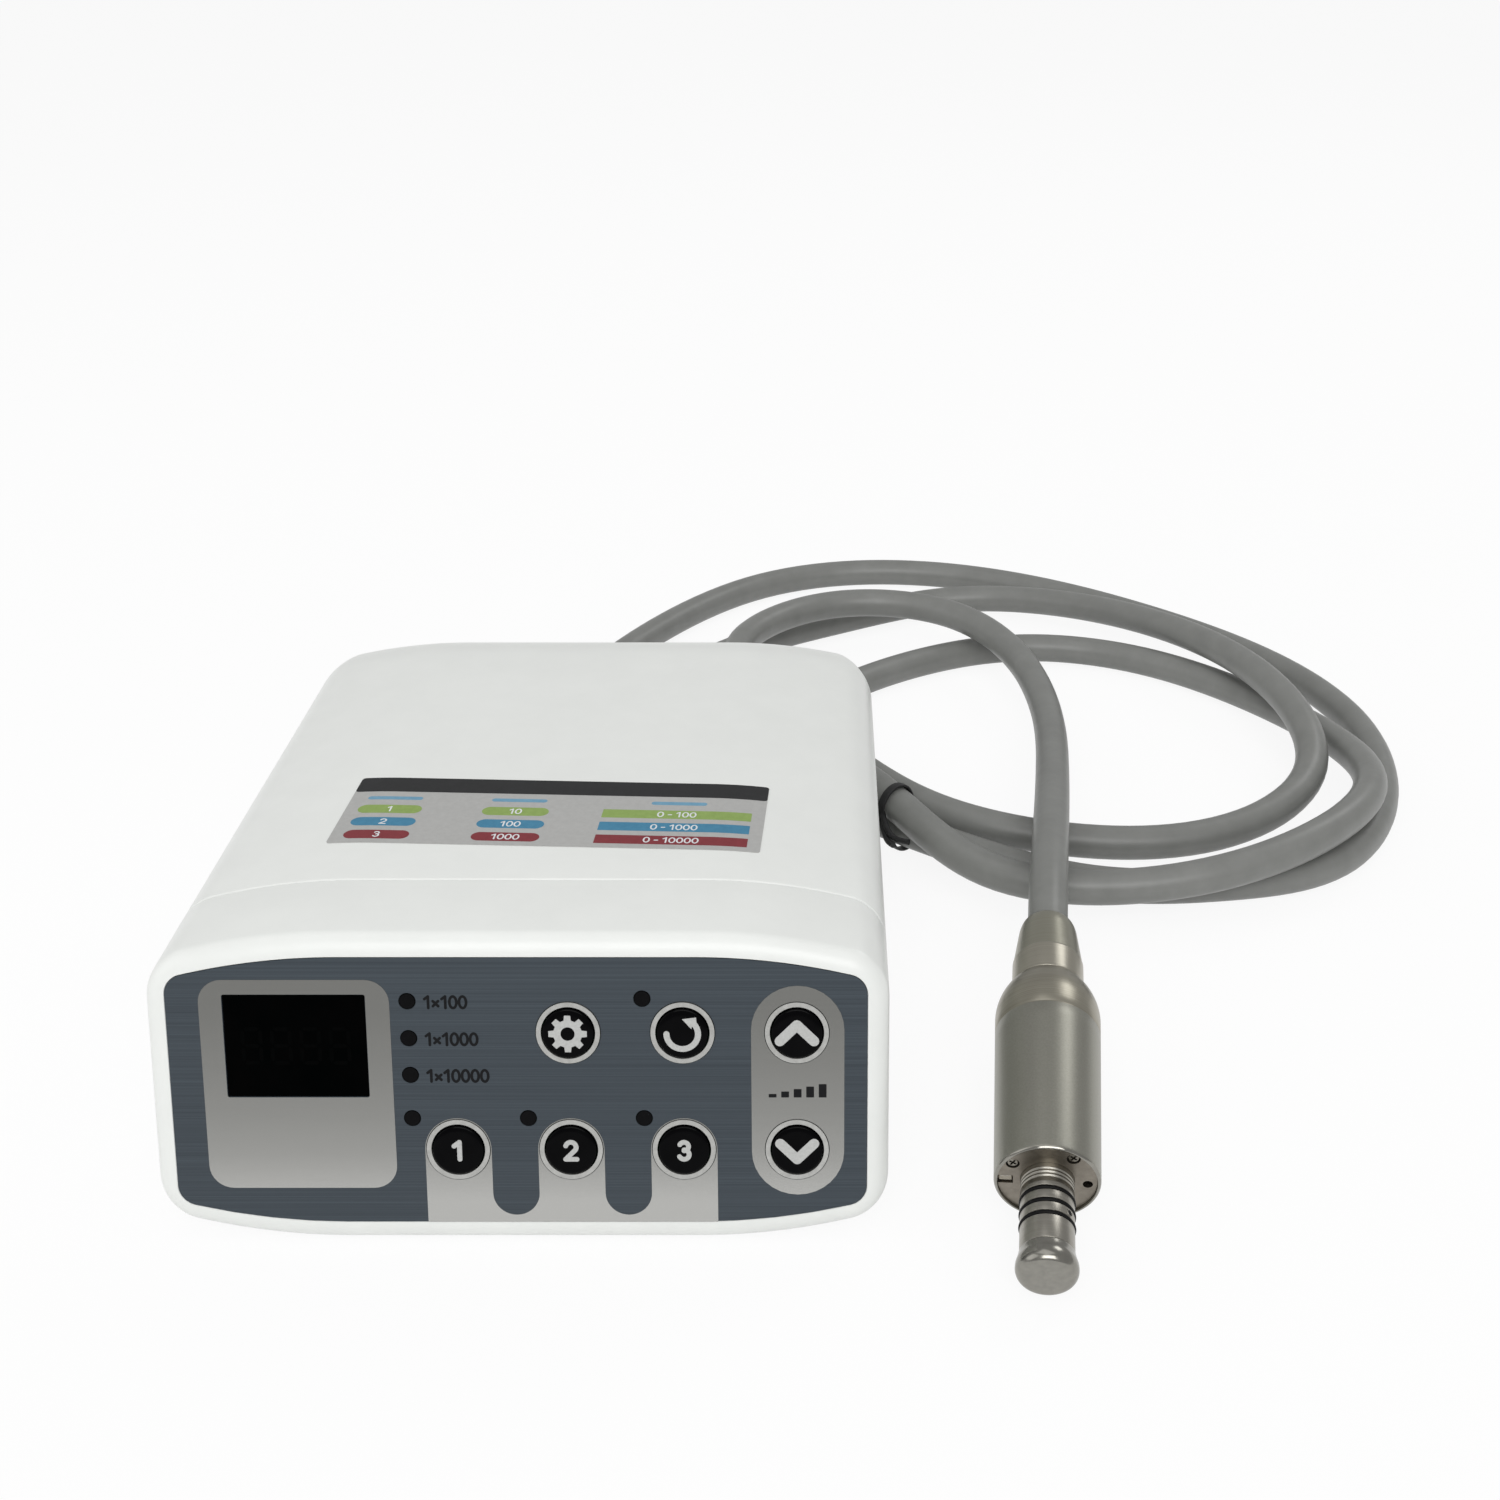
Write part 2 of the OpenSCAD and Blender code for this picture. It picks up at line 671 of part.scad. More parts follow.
inlet_flange_d = 11;
inlet_flange_t = 1.5;
inlet_barrel_l = 14;
inlet_depth = 10;
module dc_inlet() {
    color([0.12, 0.12, 0.12]) on_rear(inlet_x, rear_z) difference() {
        union() {
            cylinder(d = inlet_flange_d, h = inlet_flange_t);
            translate([0, 0, -inlet_barrel_l]) cylinder(d = inlet_barrel_d, h = inlet_barrel_l);
        }
        translate([0, 0, inlet_flange_t - inlet_depth]) cylinder(d = inlet_d, h = inlet_depth + eps);
    }
}

// Four-hole coupling: drive air, exhaust, water and chip air
coupling_flange_d = 14;
coupling_flange_t = 2;
coupling_port_r = 2.6;
coupling_thread_d = coupling_d - 1;
coupling_thread_l = 8;
coupling_port_l = 9;
coupling_port_d = [2.6, 2.2, 1.6, 1.6];
module coupling_inlet() {
    color("silver") on_rear(coupling_x, rear_z) difference() {
        union() {
            cylinder(d = coupling_d, h = coupling_l);
            translate([0, 0, -rear_t - coupling_thread_l])
                cylinder(d = coupling_thread_d, h = rear_t + coupling_thread_l + eps);
            cylinder(d = coupling_flange_d, h = coupling_flange_t);
            translate([0, 0, -rear_t - 3]) cylinder(d = coupling_flange_d, h = 3);
        }
        for (i = [0 : 3]) rotate(90 * i + 45) translate([coupling_port_r, 0, coupling_l - coupling_port_l])
            cylinder(d = coupling_port_d[i], h = coupling_port_l + eps);
        for (i = [0 : 4]) translate([0, 0, coupling_l - 2 - 1.4 * i]) rotate_extrude()
            translate([coupling_d / 2, 0]) circle(0.35);
    }
}

// Hexagonal gland nut with a round collar, and the thread behind it
module gland_nut() {
    color([0.2, 0.2, 0.2]) on_rear(gland_x, gland_z) difference() {
        union() {
            cylinder(d = nut_d, h = nut_l, $fn = 6);
            translate([0, 0, -rear_t - gland_thread_l])
                cylinder(d = gland_thread_d, h = rear_t + gland_thread_l);
        }
        translate([0, 0, -rear_t - gland_thread_l - eps])
            cylinder(d = hose_d + 2 * slip, h = rear_t + gland_thread_l + nut_l + 2 * eps);
    }
}

relief_root_d = 12.6;
relief_tip_d = hose_d + 1.6;
relief_rings = 6;
// Tapered bend relief with moulded grooves, over the first stretch of the hose
module strain_relief() {
    pitch = relief_l / (relief_rings + 1);
    color([0.25, 0.25, 0.25]) on_rear(gland_x, gland_z) translate([0, 0, nut_l]) difference() {
        cylinder(d1 = relief_root_d, d2 = relief_tip_d, h = relief_l);
        translate([0, 0, -eps]) cylinder(d = hose_d - 2, h = relief_l - hose_d / 2 + eps);
        for (i = [1 : relief_rings]) translate([0, 0, i * pitch]) rotate_extrude()
            translate([relief_root_d / 2 + (relief_tip_d - relief_root_d) / 2 * i / (relief_rings + 1), 0])
                circle(0.6);
    }
}

// Handpiece: local z runs back along its axis from the front rim
handpiece_x = 78.5;
handpiece_y = -72.5;
handpiece_z = sleeve_front_d / 2 * cos(handpiece_pitch);
ferrule_start = sleeve_l + shoulder_l;
ferrule_end = ferrule_start + ferrule_l;

module on_handpiece() {
    translate([handpiece_x, handpiece_y, handpiece_z])
        rotate([handpiece_pitch, 0, -handpiece_yaw]) rotate([-90, 0, 0]) children();
}

// Point on the handpiece's axis
function on_axis(z) = [handpiece_x + z * cos(handpiece_pitch) * sin(handpiece_yaw),
    handpiece_y + z * cos(handpiece_pitch) * cos(handpiece_yaw), handpiece_z + z * sin(handpiece_pitch)];

plate_sink = 0.7;
plate_t = 4;
rim_chamfer = 0.4;
plate_bore_d = sleeve_front_d - 1.4;
shoulder_steps = 6;
shoulder_drop = (sleeve_rear_d - ferrule_d) / 2;
sleeve_end_t = 1.6;
ferrule_neck_d = 11;

module motor_sleeve() {
    color("silver") on_handpiece() difference() {
        rotate_extrude() polygon(concat(
            [[0, 0], [sleeve_front_d / 2 - rim_chamfer, 0], [sleeve_front_d / 2, rim_chamfer],
                [sleeve_rear_d / 2, sleeve_l]],
            [for (k = [1 : shoulder_steps]) let (t = k / shoulder_steps)
                [sleeve_rear_d / 2 - shoulder_drop * t * t, sleeve_l + shoulder_l * t]],
            [[0, ferrule_start]]));
        translate([0, 0, -eps]) cylinder(d = plate_bore_d, h = plate_sink + plate_t + eps);
        translate([0, 0, -eps]) cylinder(d = motor_bore_d, h = sleeve_l + 2);
        translate([0, 0, -eps]) cylinder(d = ferrule_neck_d + 2 * bore_fit, h = ferrule_start + 2 * eps);
    }
}

ferrule_straight = 7.5;
ferrule_lip = 3;
ferrule_tip_d = hose_d + 1;
ferrule_cone_d = 13;
module hose_ferrule() {
    color("darkgray") on_handpiece() difference() {
        rotate_extrude() polygon([
            [0, ferrule_start - 4], [ferrule_neck_d / 2, ferrule_start - 4],
            [ferrule_neck_d / 2, ferrule_start],
            [ferrule_d / 2, ferrule_start], [ferrule_d / 2, ferrule_start + ferrule_straight],
            [ferrule_cone_d / 2, ferrule_end - ferrule_lip], [ferrule_cone_d / 2 - 0.5, ferrule_end - 1.6],
            [ferrule_tip_d / 2 + 0.4, ferrule_end - 0.4], [ferrule_tip_d / 2 - 0.2, ferrule_end],
            [0, ferrule_end]]);
        translate([0, 0, ferrule_start - 5]) cylinder(d = hose_d - 2, h = ferrule_l + 5 - hose_d / 2);
    }
}

// Front plate: screws, lamp window and an air hole lie round the nose
plate_feature_r = 8.2;
plate_screw_d = 2.6;
plate_hole_d = 2;
PLATE_SCREWS = [212, 305, 90];
lamp_angle = 178;
lamp_w = 3;
lamp_h = 2.2;
lamp_t = 1.6;
hole_angle = 2;
plate_screw_depth = 2;

module front_plate() {
    color("silver") on_handpiece() difference() {
        translate([0, 0, plate_sink]) cylinder(d = plate_bore_d - 2 * bore_fit, h = plate_t);
        translate([0, 0, -eps]) cylinder(d = nose_d + 2 * bore_fit, h = plate_sink + plate_t + 2 * eps);
        for (a = PLATE_SCREWS) rotate(a) translate([plate_feature_r, 0, -eps])
            cylinder(d = plate_screw_d + 2 * bore_fit, h = plate_sink + plate_screw_depth + eps);
        rotate(hole_angle) translate([plate_feature_r - 0.3, 0, -eps])
            cylinder(d = plate_hole_d, h = plate_sink + plate_t + 2 * eps);
        rotate(lamp_angle) translate([plate_feature_r - lamp_w / 2, -lamp_h / 2, -eps])
            cube([lamp_w, lamp_h, plate_sink + lamp_t + eps]);
    }
}

module plate_screws() {
    color("dimgray") on_handpiece() for (a = PLATE_SCREWS) rotate(a)
        translate([plate_feature_r, 0, plate_sink + 0.3]) difference() {
            cylinder(d = plate_screw_d, h = plate_screw_depth - 0.3);
            for (turn = [0, 90]) rotate(turn) translate([-0.8, -0.2, -eps]) cube([1.6, 0.4, eps + 0.6]);
        }
}

module lamp_lens() {
    color("lightyellow") on_handpiece() rotate(lamp_angle)
        translate([plate_feature_r - lamp_w / 2 + bore_fit, bore_fit - lamp_h / 2, plate_sink + 0.2])
            cube([lamp_w - 2 * bore_fit, lamp_h - 2 * bore_fit, lamp_t - 0.2]);
}

// Nose: grooved root, collar, three O-ring grooves and a plain front that takes the cap
ring_first_z = 5.2;
ring_pitch = 3;
ring_z = [for (i = [0 : 2]) ring_first_z + i * ring_pitch];
ring_cord = 1.2;
ring_proud = 0.25;
groove_w = 1.3;
groove_depth = 1;
port_z = 9.7;
port_d = 1.2;
nose_seat_d = 9;
// The tip steps down just in front of the cap's edge, so that an attachment meets only the plain stretch
tip_step = 0.2;
tip_gap = 0.3;
nose_tip_d = nose_d - 2 * tip_step;
tip_start = nose_l + cap_end_t - cap_l - tip_gap;
module nose_tube() {
    color("silver") on_handpiece() difference() {
        union() {
            translate([0, 0, -nose_l]) cylinder(d = nose_d, h = nose_l + plate_sink + plate_t);
            translate([0, 0, plate_sink + plate_t]) cylinder(d = motor_bore_d - 2 * bore_fit, h = 2);
        }
        translate([0, 0, -nose_l - eps]) cylinder(d = nose_bore_d, h = nose_l + eps + 0.5);
        translate([0, 0, 0]) cylinder(d = nose_seat_d + 2 * bore_fit, h = plate_sink + plate_t + 3);
        for (z = ring_z) translate([0, 0, -z]) difference() {
            translate([0, 0, -groove_w / 2]) cylinder(d = nose_d + 2, h = groove_w);
            translate([0, 0, -groove_w]) cylinder(d = nose_d - 2 * groove_depth, h = 2 * groove_w);
        }
        translate([0, 0, -nose_l - eps]) difference() {
            cylinder(d = nose_d + 2, h = nose_l - tip_start + eps);
            translate([0, 0, -eps]) cylinder(d = nose_tip_d, h = nose_l);
        }
        for (i = [0 : 2]) translate([0, 0, -0.8 - 0.9 * i]) rotate_extrude()
            translate([nose_d / 2, 0]) circle(0.2);
        translate([0, 0, -port_z]) rotate([0, 90, -40]) cylinder(d = port_d, h = nose_d);
    }
}

module nose_o_rings() {
    color([0.05, 0.05, 0.05]) on_handpiece() for (z = ring_z) translate([0, 0, -z]) rotate_extrude()
        translate([nose_d / 2 + ring_proud - ring_cord / 2, 0]) circle(d = ring_cord);
}

// Dust cap: a rounded cup that pushes over the front of the nose
cap_round = 1.8;
cap_seat = 0.1;
cap_steps = 5;
cap_front = nose_l + cap_end_t;
module nose_cap() {
    back = cap_front - cap_l;
    color("gainsboro") on_handpiece() difference() {
        rotate_extrude() polygon(concat(
            [[0, -cap_front]],
            [for (k = [0 : cap_steps]) let (a = 90 * k / cap_steps)
                [cap_d / 2 - cap_round * (1 - sin(a)), -cap_front + cap_round * (1 - cos(a))]],
            [[cap_d / 2, -back - 1], [cap_d / 2 - 0.4, -back - 0.2], [cap_d / 2 - 0.5, -back], [0, -back]]));
        translate([0, 0, -nose_l - cap_seat]) cylinder(d = nose_tip_d + 2 * running_fit, h = nose_l);
    }
}

// Motor inside the sleeve
front_bearing_z = 1;
bearing_t = 3.5;
rear_bearing_z = 40;
stator_z = 9;
stator_l = 28;
stator_bore_d = rotor_d + 0.8;
dog_z = -14;
dog_l = 4;
dog_d = 5;
shaft_start = dog_z;
shaft_end = rear_bearing_z + bearing_t + 0.5;

module bearing(z, outer_d) {
    color("lightgray") on_handpiece() translate([0, 0, z]) difference() {
        cylinder(d = outer_d, h = bearing_t);
        translate([0, 0, -eps]) cylinder(d = shaft_d + 2 * running_fit, h = bearing_t + 2 * eps);
        for (face = [0, bearing_t]) translate([0, 0, face]) rotate_extrude()
            translate([(outer_d + shaft_d) / 4, 0]) circle(0.5);
    }
}

module front_bearing() { bearing(front_bearing_z, nose_seat_d); }
module rear_bearing() { bearing(rear_bearing_z, motor_bore_d - 2 * bore_fit); }

module motor_shaft() {
    color("lightsteelblue") on_handpiece() translate([0, 0, shaft_start])
        cylinder(d = shaft_d, h = shaft_end - shaft_start);
}

magnet_z = stator_z + 2;
magnet_l = stator_l - 4;
module rotor_magnet() {
    color("gray") on_handpiece() translate([0, 0, magnet_z]) difference() {
        cylinder(d = rotor_d, h = magnet_l);
        translate([0, 0, -eps]) cylinder(d = shaft_d, h = magnet_l + 2 * eps);
    }
}

// Dog at the front of the shaft, with two slots that drive the attachment
module drive_dog() {
    color("lightsteelblue") on_handpiece() translate([0, 0, dog_z - 1]) difference() {
        cylinder(d = dog_d, h = dog_l);
        translate([0, 0, 1]) cylinder(d = shaft_d, h = dog_l);
        translate([-dog_d, -0.6, -eps]) cube([2 * dog_d, 1.2, eps + 0.8]);
    }
}

module stator_core() {
    color("dimgray") on_handpiece() translate([0, 0, stator_z]) difference() {
        cylinder(d = motor_bore_d - 2 * bore_fit, h = stator_l);
        translate([0, 0, -eps]) cylinder(d = stator_bore_d + 3, h = stator_l + 2 * eps);
    }
}

coil_end = 1.5;
module stator_coils() {
    color("peru") on_handpiece() translate([0, 0, stator_z - coil_end]) difference() {
        union() {
            cylinder(d = stator_bore_d + 3 - 2 * bore_fit, h = stator_l + 2 * coil_end);
            for (z = [0, stator_l + coil_end]) translate([0, 0, z])
                cylinder(d = motor_bore_d - 2, h = coil_end);
        }
        translate([0, 0, -eps]) cylinder(d = stator_bore_d, h = stator_l + 2 * coil_end + 2 * eps);
    }
}

block_z = rear_bearing_z + bearing_t + 0.2;
pin_d = 1;
pin_r = 2.6;
pins = 5;
block_hole_d = shaft_d + 1;
module connector_block() {
    color("ivory") on_handpiece() difference() {
        union() {
            translate([0, 0, block_z]) cylinder(d = motor_bore_d - 2 * bore_fit, h = sleeve_l + 1 - block_z);
            translate([0, 0, block_z])
                cylinder(d = ferrule_neck_d - 2 * bore_fit, h = ferrule_start - 4.2 - block_z);
        }
        translate([0, 0, block_z - eps]) cylinder(d = block_hole_d, h = 2);
        for (i = [0 : pins - 1]) rotate(360 * i / pins) translate([pin_r, 0, block_z + 1])
            cylinder(d = pin_d + 2 * bore_fit, h = ferrule_start);
    }
}

module contact_pins() {
    color("gold") on_handpiece() for (i = [0 : pins - 1]) rotate(360 * i / pins)
        translate([pin_r, 0, block_z + 1]) cylinder(d = pin_d, h = ferrule_start - block_z);
}

// Route of the hose: it leaves the gland, lies in three loose loops beside the console and
// comes back over them to the handpiece
gland_end = [console_x + gland_x, console_front_y + rear_face_y + nut_l + relief_l, foot_h + gland_z];
hose_lead = 11;
ROUTE = [
    [-44, 146, 19], [-43, 172, 5], [-32, 206, 5], [6, 268, 5], [58, 283, 5], [108, 267, 5],
    [149, 234, 5], [182.5, 197, 5], [201.5, 151, 5], [196, 98, 5], [172.5, 58, 5], [140, 51, 5],
    [104, 48, 5], [70, 67, 6.5], [32, 98, 6.5], [14, 135, 5], [36, 170, 5], [66, 196, 5],
    [102, 211, 5], [142, 199, 5], [172.5, 165, 5.5], [189, 122, 10], [188, 79, 17], [152, 45, 15.5],
    [112, 38, 10], [74, 44, 10], [55, 76, 16], [32, 106, 20], [-1, 131, 11], [-22, 165, 5],
    [2, 207, 5], [42, 231, 5], [78, 254, 5], [118, 240, 9], [152, 202, 15], [174, 152, 18.5],
    [179.5, 100, 12.5], [146, 72, 6], [104, 69, 6], [66, 80, 9], [46, 108, 9], [20, 136, 17],
    [2, 172, 18], [19, 206, 17], [45, 221, 17], [80, 212, 17], [99, 178, 15], [103, 136, 13],
    [99, 98, 16], [94, 60, 22], [89.5, 28, 26]];
hose_route = concat([gland_end, gland_end + [0, hose_lead, 0]], ROUTE,
    [on_axis(ferrule_end + hose_lead), on_axis(ferrule_end)]);
hose_sides = 10;
hose_steps = 2;

function bspline(a, b, c, d, t) = (a * pow(1 - t, 3) + b * (3 * pow(t, 3) - 6 * t * t + 4)
    + c * (3 * t * t - 3 * pow(t, 3) + 3 * t + 1) + d * pow(t, 3)) / 6;
function smooth_path(route, steps) = let (
        last = len(route) - 1,
        p = concat([2 * route[0] - route[1]], route, [2 * route[last] - route[last - 1]]))
    concat([for (i = [0 : last - 1]) for (k = [0 : steps - 1])
        bspline(p[i], p[i + 1], p[i + 2], p[i + 3], k / steps)], [route[last]]);
function unit(v) = v / norm(v);
// The ends run straight along the route's first and last stretch
function tangent(path, route, i) = i == 0 ? unit(route[1] - route[0])
    : i == len(path) - 1 ? unit(route[len(route) - 1] - route[len(route) - 2])
    : unit(path[i + 1] - path[i - 1]);
function tube_ring(centre, along, r, sides) = let (
        side = unit(cross(along, [0, 0, 1])),
        up = cross(side, along))
    [for (i = [0 : sides - 1]) let (a = 360 * i / sides) centre + r * (cos(a) * side + sin(a) * up)];
function path_length(path) = [for (i = 1, total = norm(path[1] - path[0]); i < len(path);
    i = i + 1, total = i < len(path) ? total + norm(path[i] - path[i - 1]) : total) total][len(path) - 2];

hose_path = smooth_path(hose_route, hose_steps);
// The loops pass each other at points further apart than this along the hose
loop_apart = 4;
hose_fine = smooth_path(hose_route, 4);
hose_gap = min([for (i = [0 : len(hose_fine) - 1]) for (j = [i + 4 * loop_apart : len(hose_fine) - 1])
    if (j < len(hose_fine)) norm(hose_fine[i] - hose_fine[j])]) - hose_d;
echo(hose_length = path_length(hose_fine), hose_gap = hose_gap);

module motor_hose() {
    rings = len(hose_path);
    points = [for (i = [0 : rings - 1])
        each tube_ring(hose_path[i], tangent(hose_path, hose_route, i), hose_d / 2, hose_sides)];
    color("gray") polyhedron(points = points,
        faces = concat(loft_sides(rings, hose_sides), loft_caps(rings, hose_sides)), convexity = 10);
}

// Tie round the two inner strands that pass the console's rear corner
tie_at = [57, 78, 0];
tie_turn = 45;
tie_t = 0.8;
tie_w = 2.4;
tie_gap = 0.75;
TIE_STRANDS = [[-4, 15.4], [0.3, 6.4]];
module tie_outline(grow) {
    hull() for (s = TIE_STRANDS) translate(s) circle(hose_d / 2 + grow, $fn = 32);
}

module hose_tie() {
    color([0.08, 0.08, 0.08]) translate(tie_at) rotate(tie_turn) rotate([90, 0, 0])
        translate([0, 0, -tie_w / 2]) linear_extrude(tie_w) difference() {
            tie_outline(tie_gap + tie_t);
            tie_outline(tie_gap);
        }
}

front_bezel();
top_cover();
base_tray();
rear_panel();
panel_overlay();
display_window();
display_module();
button_gear();
button_reverse();
button_speed_up();
button_speed_down();
button_memory_1();
button_memory_2();
button_memory_3();
button_rims();
indicator_lenses();
keypad_board();
key_switches();
keypad_screws();
main_board();
board_screws();
filter_capacitors();
heat_sink();
board_connectors();
base_screws();
rubber_feet();
top_label();
power_switch();
power_rocker();
dc_inlet();
coupling_inlet();
gland_nut();
strain_relief();
motor_sleeve();
hose_ferrule();
front_plate();
nose_tube();
nose_o_rings();
plate_screws();
lamp_lens();
nose_cap();
motor_shaft();
rotor_magnet();
drive_dog();
front_bearing();
rear_bearing();
stator_core();
stator_coils();
connector_block();
contact_pins();
motor_hose();
hose_tie();
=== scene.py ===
import math

import bmesh
import bpy
from mathutils import Matrix, Vector


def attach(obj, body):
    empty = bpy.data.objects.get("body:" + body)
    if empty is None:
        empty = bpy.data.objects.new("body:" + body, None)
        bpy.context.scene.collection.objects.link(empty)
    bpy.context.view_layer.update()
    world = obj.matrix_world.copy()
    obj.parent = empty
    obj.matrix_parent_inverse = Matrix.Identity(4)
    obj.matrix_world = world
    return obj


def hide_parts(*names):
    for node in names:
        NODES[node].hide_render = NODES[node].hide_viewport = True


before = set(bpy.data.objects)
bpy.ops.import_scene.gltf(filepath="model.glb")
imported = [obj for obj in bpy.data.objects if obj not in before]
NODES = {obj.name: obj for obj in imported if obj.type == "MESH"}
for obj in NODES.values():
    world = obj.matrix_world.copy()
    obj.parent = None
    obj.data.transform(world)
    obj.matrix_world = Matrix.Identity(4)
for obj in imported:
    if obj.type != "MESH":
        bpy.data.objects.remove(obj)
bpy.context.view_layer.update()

# Sizes are written in millimetres, in the frame of the CAD model, and scaled once
MM = 0.001
ROOT = "console_and_handpiece"
scene = bpy.context.scene
scene.view_settings.view_transform = "Standard"

# Console
CONSOLE_AT = Vector((-23.7, -78.5, 0.6))
HALF_W, HALF_H, DEPTH = 71.0, 30.0, 167.0
LEAN = math.radians(15)
BEZEL_D, SEAM_GAP, WALL = 21.5, 0.4, 2.5
EDGE_R, BACK_CORNER_R, BACK_EDGE_R = 3.0, 17.0, 5.5
PARTING_Z = 13.0
CORNER_R, CORNER_MIN_R, BOW = 9.5, 3.0, 3.0
FLAT_HALF = 0.24 * 2 * HALF_W
BOW_CURVE = BOW / (HALF_W - CORNER_R - FLAT_HALF) ** 2
OVERLAY_V, OVERLAY_HALF_W, OVERLAY_HALF_H, OVERLAY_R, OVERLAY_T = 0.3, 66.9, 26.958, 4.2, 0.8
REAR_HALF_W, REAR_HALF_H, REAR_R, REAR_RECESS = 50.15, 13.15, 4.15, 6.0
# Keys and lenses on the panel
KEY_U0, KEY_V0, KEY_DU, KEY_DV = -12.1, 12.2, 21.8, 23.7
KEY_R, KEY_PROUD = 4.9, 0.7
# Handpiece: its axis starts at the middle of the front rim and runs back
HP_AT = Vector((78.5, -72.5, 10.3405))
HP_PITCH, HP_YAW = math.radians(10), math.radians(6)
FERRULE_START, FERRULE_END = 54.0, 75.0
NOSE_R, RINGS_Z = 5.3, (5.2, 8.2, 11.2)
HOSE_D = 9.2


# Camera, fitted to the photograph
SENSOR_W, LENS, SHIFT_X, CLIP_START = 36, 43.2, -0.0467, 0.01
CAMERA_AT, CAMERA_TILT = (0.034, -0.3505, 0.243), math.radians(63.6135)
camera = bpy.data.objects.new("camera", bpy.data.cameras.new("camera"))
camera.data.sensor_width = SENSOR_W
camera.data.lens = LENS
camera.data.shift_x = SHIFT_X
camera.data.clip_start = CLIP_START
camera.location = CAMERA_AT
camera.rotation_euler = (CAMERA_TILT, 0, 0)
scene.collection.objects.link(camera)
scene.camera = camera


# Materials
def linear(r, g, b):
    """An sRGB colour of 0 to 255 as linear values."""
    shares = [c / 255 for c in (r, g, b)]
    return tuple(((c + 0.055) / 1.055) ** 2.4 if c > 0.04045 else c / 12.92 for c in shares) + (1.0,)


NOISE_ROUGHNESS = 0.6


class Shader:
    """A node material: a Principled shader whose colour, roughness and bump come from noise."""

    def __init__(self, name, **sockets):
        self.material = bpy.data.materials.new(name)
        self.material.use_nodes = True
        self.tree = self.material.node_tree
        self.bsdf = self.tree.nodes["Principled BSDF"]
        for key, value in sockets.items():
            self.bsdf.inputs[key.replace("_", " ")].default_value = value
        self.place = self.tree.nodes.new("ShaderNodeTexCoord").outputs["Object"]

    def add(self, kind, links=(), values=(), **settings):
        """A new node with its settings, links into it and values of its sockets."""
        node = self.tree.nodes.new(kind)
        for key, value in settings.items():
            setattr(node, key, value)
        for key, value in dict(values).items():
            node.inputs[key].default_value = value
        for key, socket in dict(links).items():
            self.tree.links.new(socket, node.inputs[key])
        return node

    def noise(self, scale, detail=3.0):
        """Noise with so many grains to a metre along each axis."""
        place = self.add("ShaderNodeMapping", {"Vector": self.place}, {"Scale": scale})
        return self.add("ShaderNodeTexNoise", {"Vector": place.outputs["Vector"]},
                        {"Scale": 1.0, "Detail": detail, "Roughness": NOISE_ROUGHNESS}).outputs["Fac"]

    def colour(self, fac, *stops):
        """The base colour as a ramp over fac."""
        node = self.add("ShaderNodeValToRGB", {"Fac": fac})
        ends = node.color_ramp.elements
        while len(ends) < len(stops):
            ends.new(0.5)
        for element, (at, colour) in zip(ends, stops):
            element.position = at
            element.color = colour
        self.tree.links.new(node.outputs["Color"], self.bsdf.inputs["Base Color"])

    def rough(self, fac, low, high):
        node = self.add("ShaderNodeMapRange", {"Value": fac}, {"To Min": low, "To Max": high})
        self.tree.links.new(node.outputs["Result"], self.bsdf.inputs["Roughness"])

    def bump(self, fac, depth_mm):
        node = self.add("ShaderNodeBump", {"Height": fac}, {"Strength": 1.0, "Distance": depth_mm * MM})
        self.tree.links.new(node.outputs["Normal"], self.bsdf.inputs["Normal"])


def simple(name, dark, light, rough, grain, bump, bump_grain=1500, **sockets):
    """Two close colours mixed by noise, with a little roughness change and surface grain."""
    s = Shader(name, **sockets)
    s.colour(s.noise((grain,) * 3), (0.3, linear(*dark)), (0.7, linear(*light)))
    s.rough(s.noise((grain * 3,) * 3), *rough)
    s.bump(s.noise((bump_grain,) * 3), bump)
    return s


def turned(name, dark, light, rough, pitch, depth):
    """Turned metal: fine rings round the handpiece's axis."""
    s = Shader(name, Metallic=1.0)
    rings = s.noise((30, 30, pitch), detail=4)
    s.colour(rings, (0.35, linear(*dark)), (0.65, linear(*light)))
    s.rough(s.noise((60, 60, pitch * 0.6)), *rough)
    s.bump(rings, depth)
    return s


white_housing = simple("moulded_white", (227, 229, 226), (230, 232, 229), (0.3, 0.36), 90, 0.0006, 1800)
white_base = simple("textured_white", (222, 224, 221), (228, 230, 227), (0.45, 0.6), 80, 0.02, 1800)
white_rear = simple("rear_white", (210, 212, 209), (218, 220, 217), (0.4, 0.55), 80, 0.02, 1800)

# Hairlines run across the panel
HAIRLINES, HAIR_GLOSS = (9, 3600, 3600), (20, 1800, 1800)
slate = Shader("brushed_slate", Specular_IOR_Level=0.35)
hairlines = slate.noise(HAIRLINES, detail=4)
slate.colour(hairlines, (0.3, linear(48, 56, 63)), (0.5, linear(55, 63, 70)), (0.7, linear(62, 71, 78)),
             (0.85, linear(86, 94, 100)))
slate.rough(slate.noise(HAIR_GLOSS), 0.38, 0.5)
slate.bump(hairlines, 0.004)

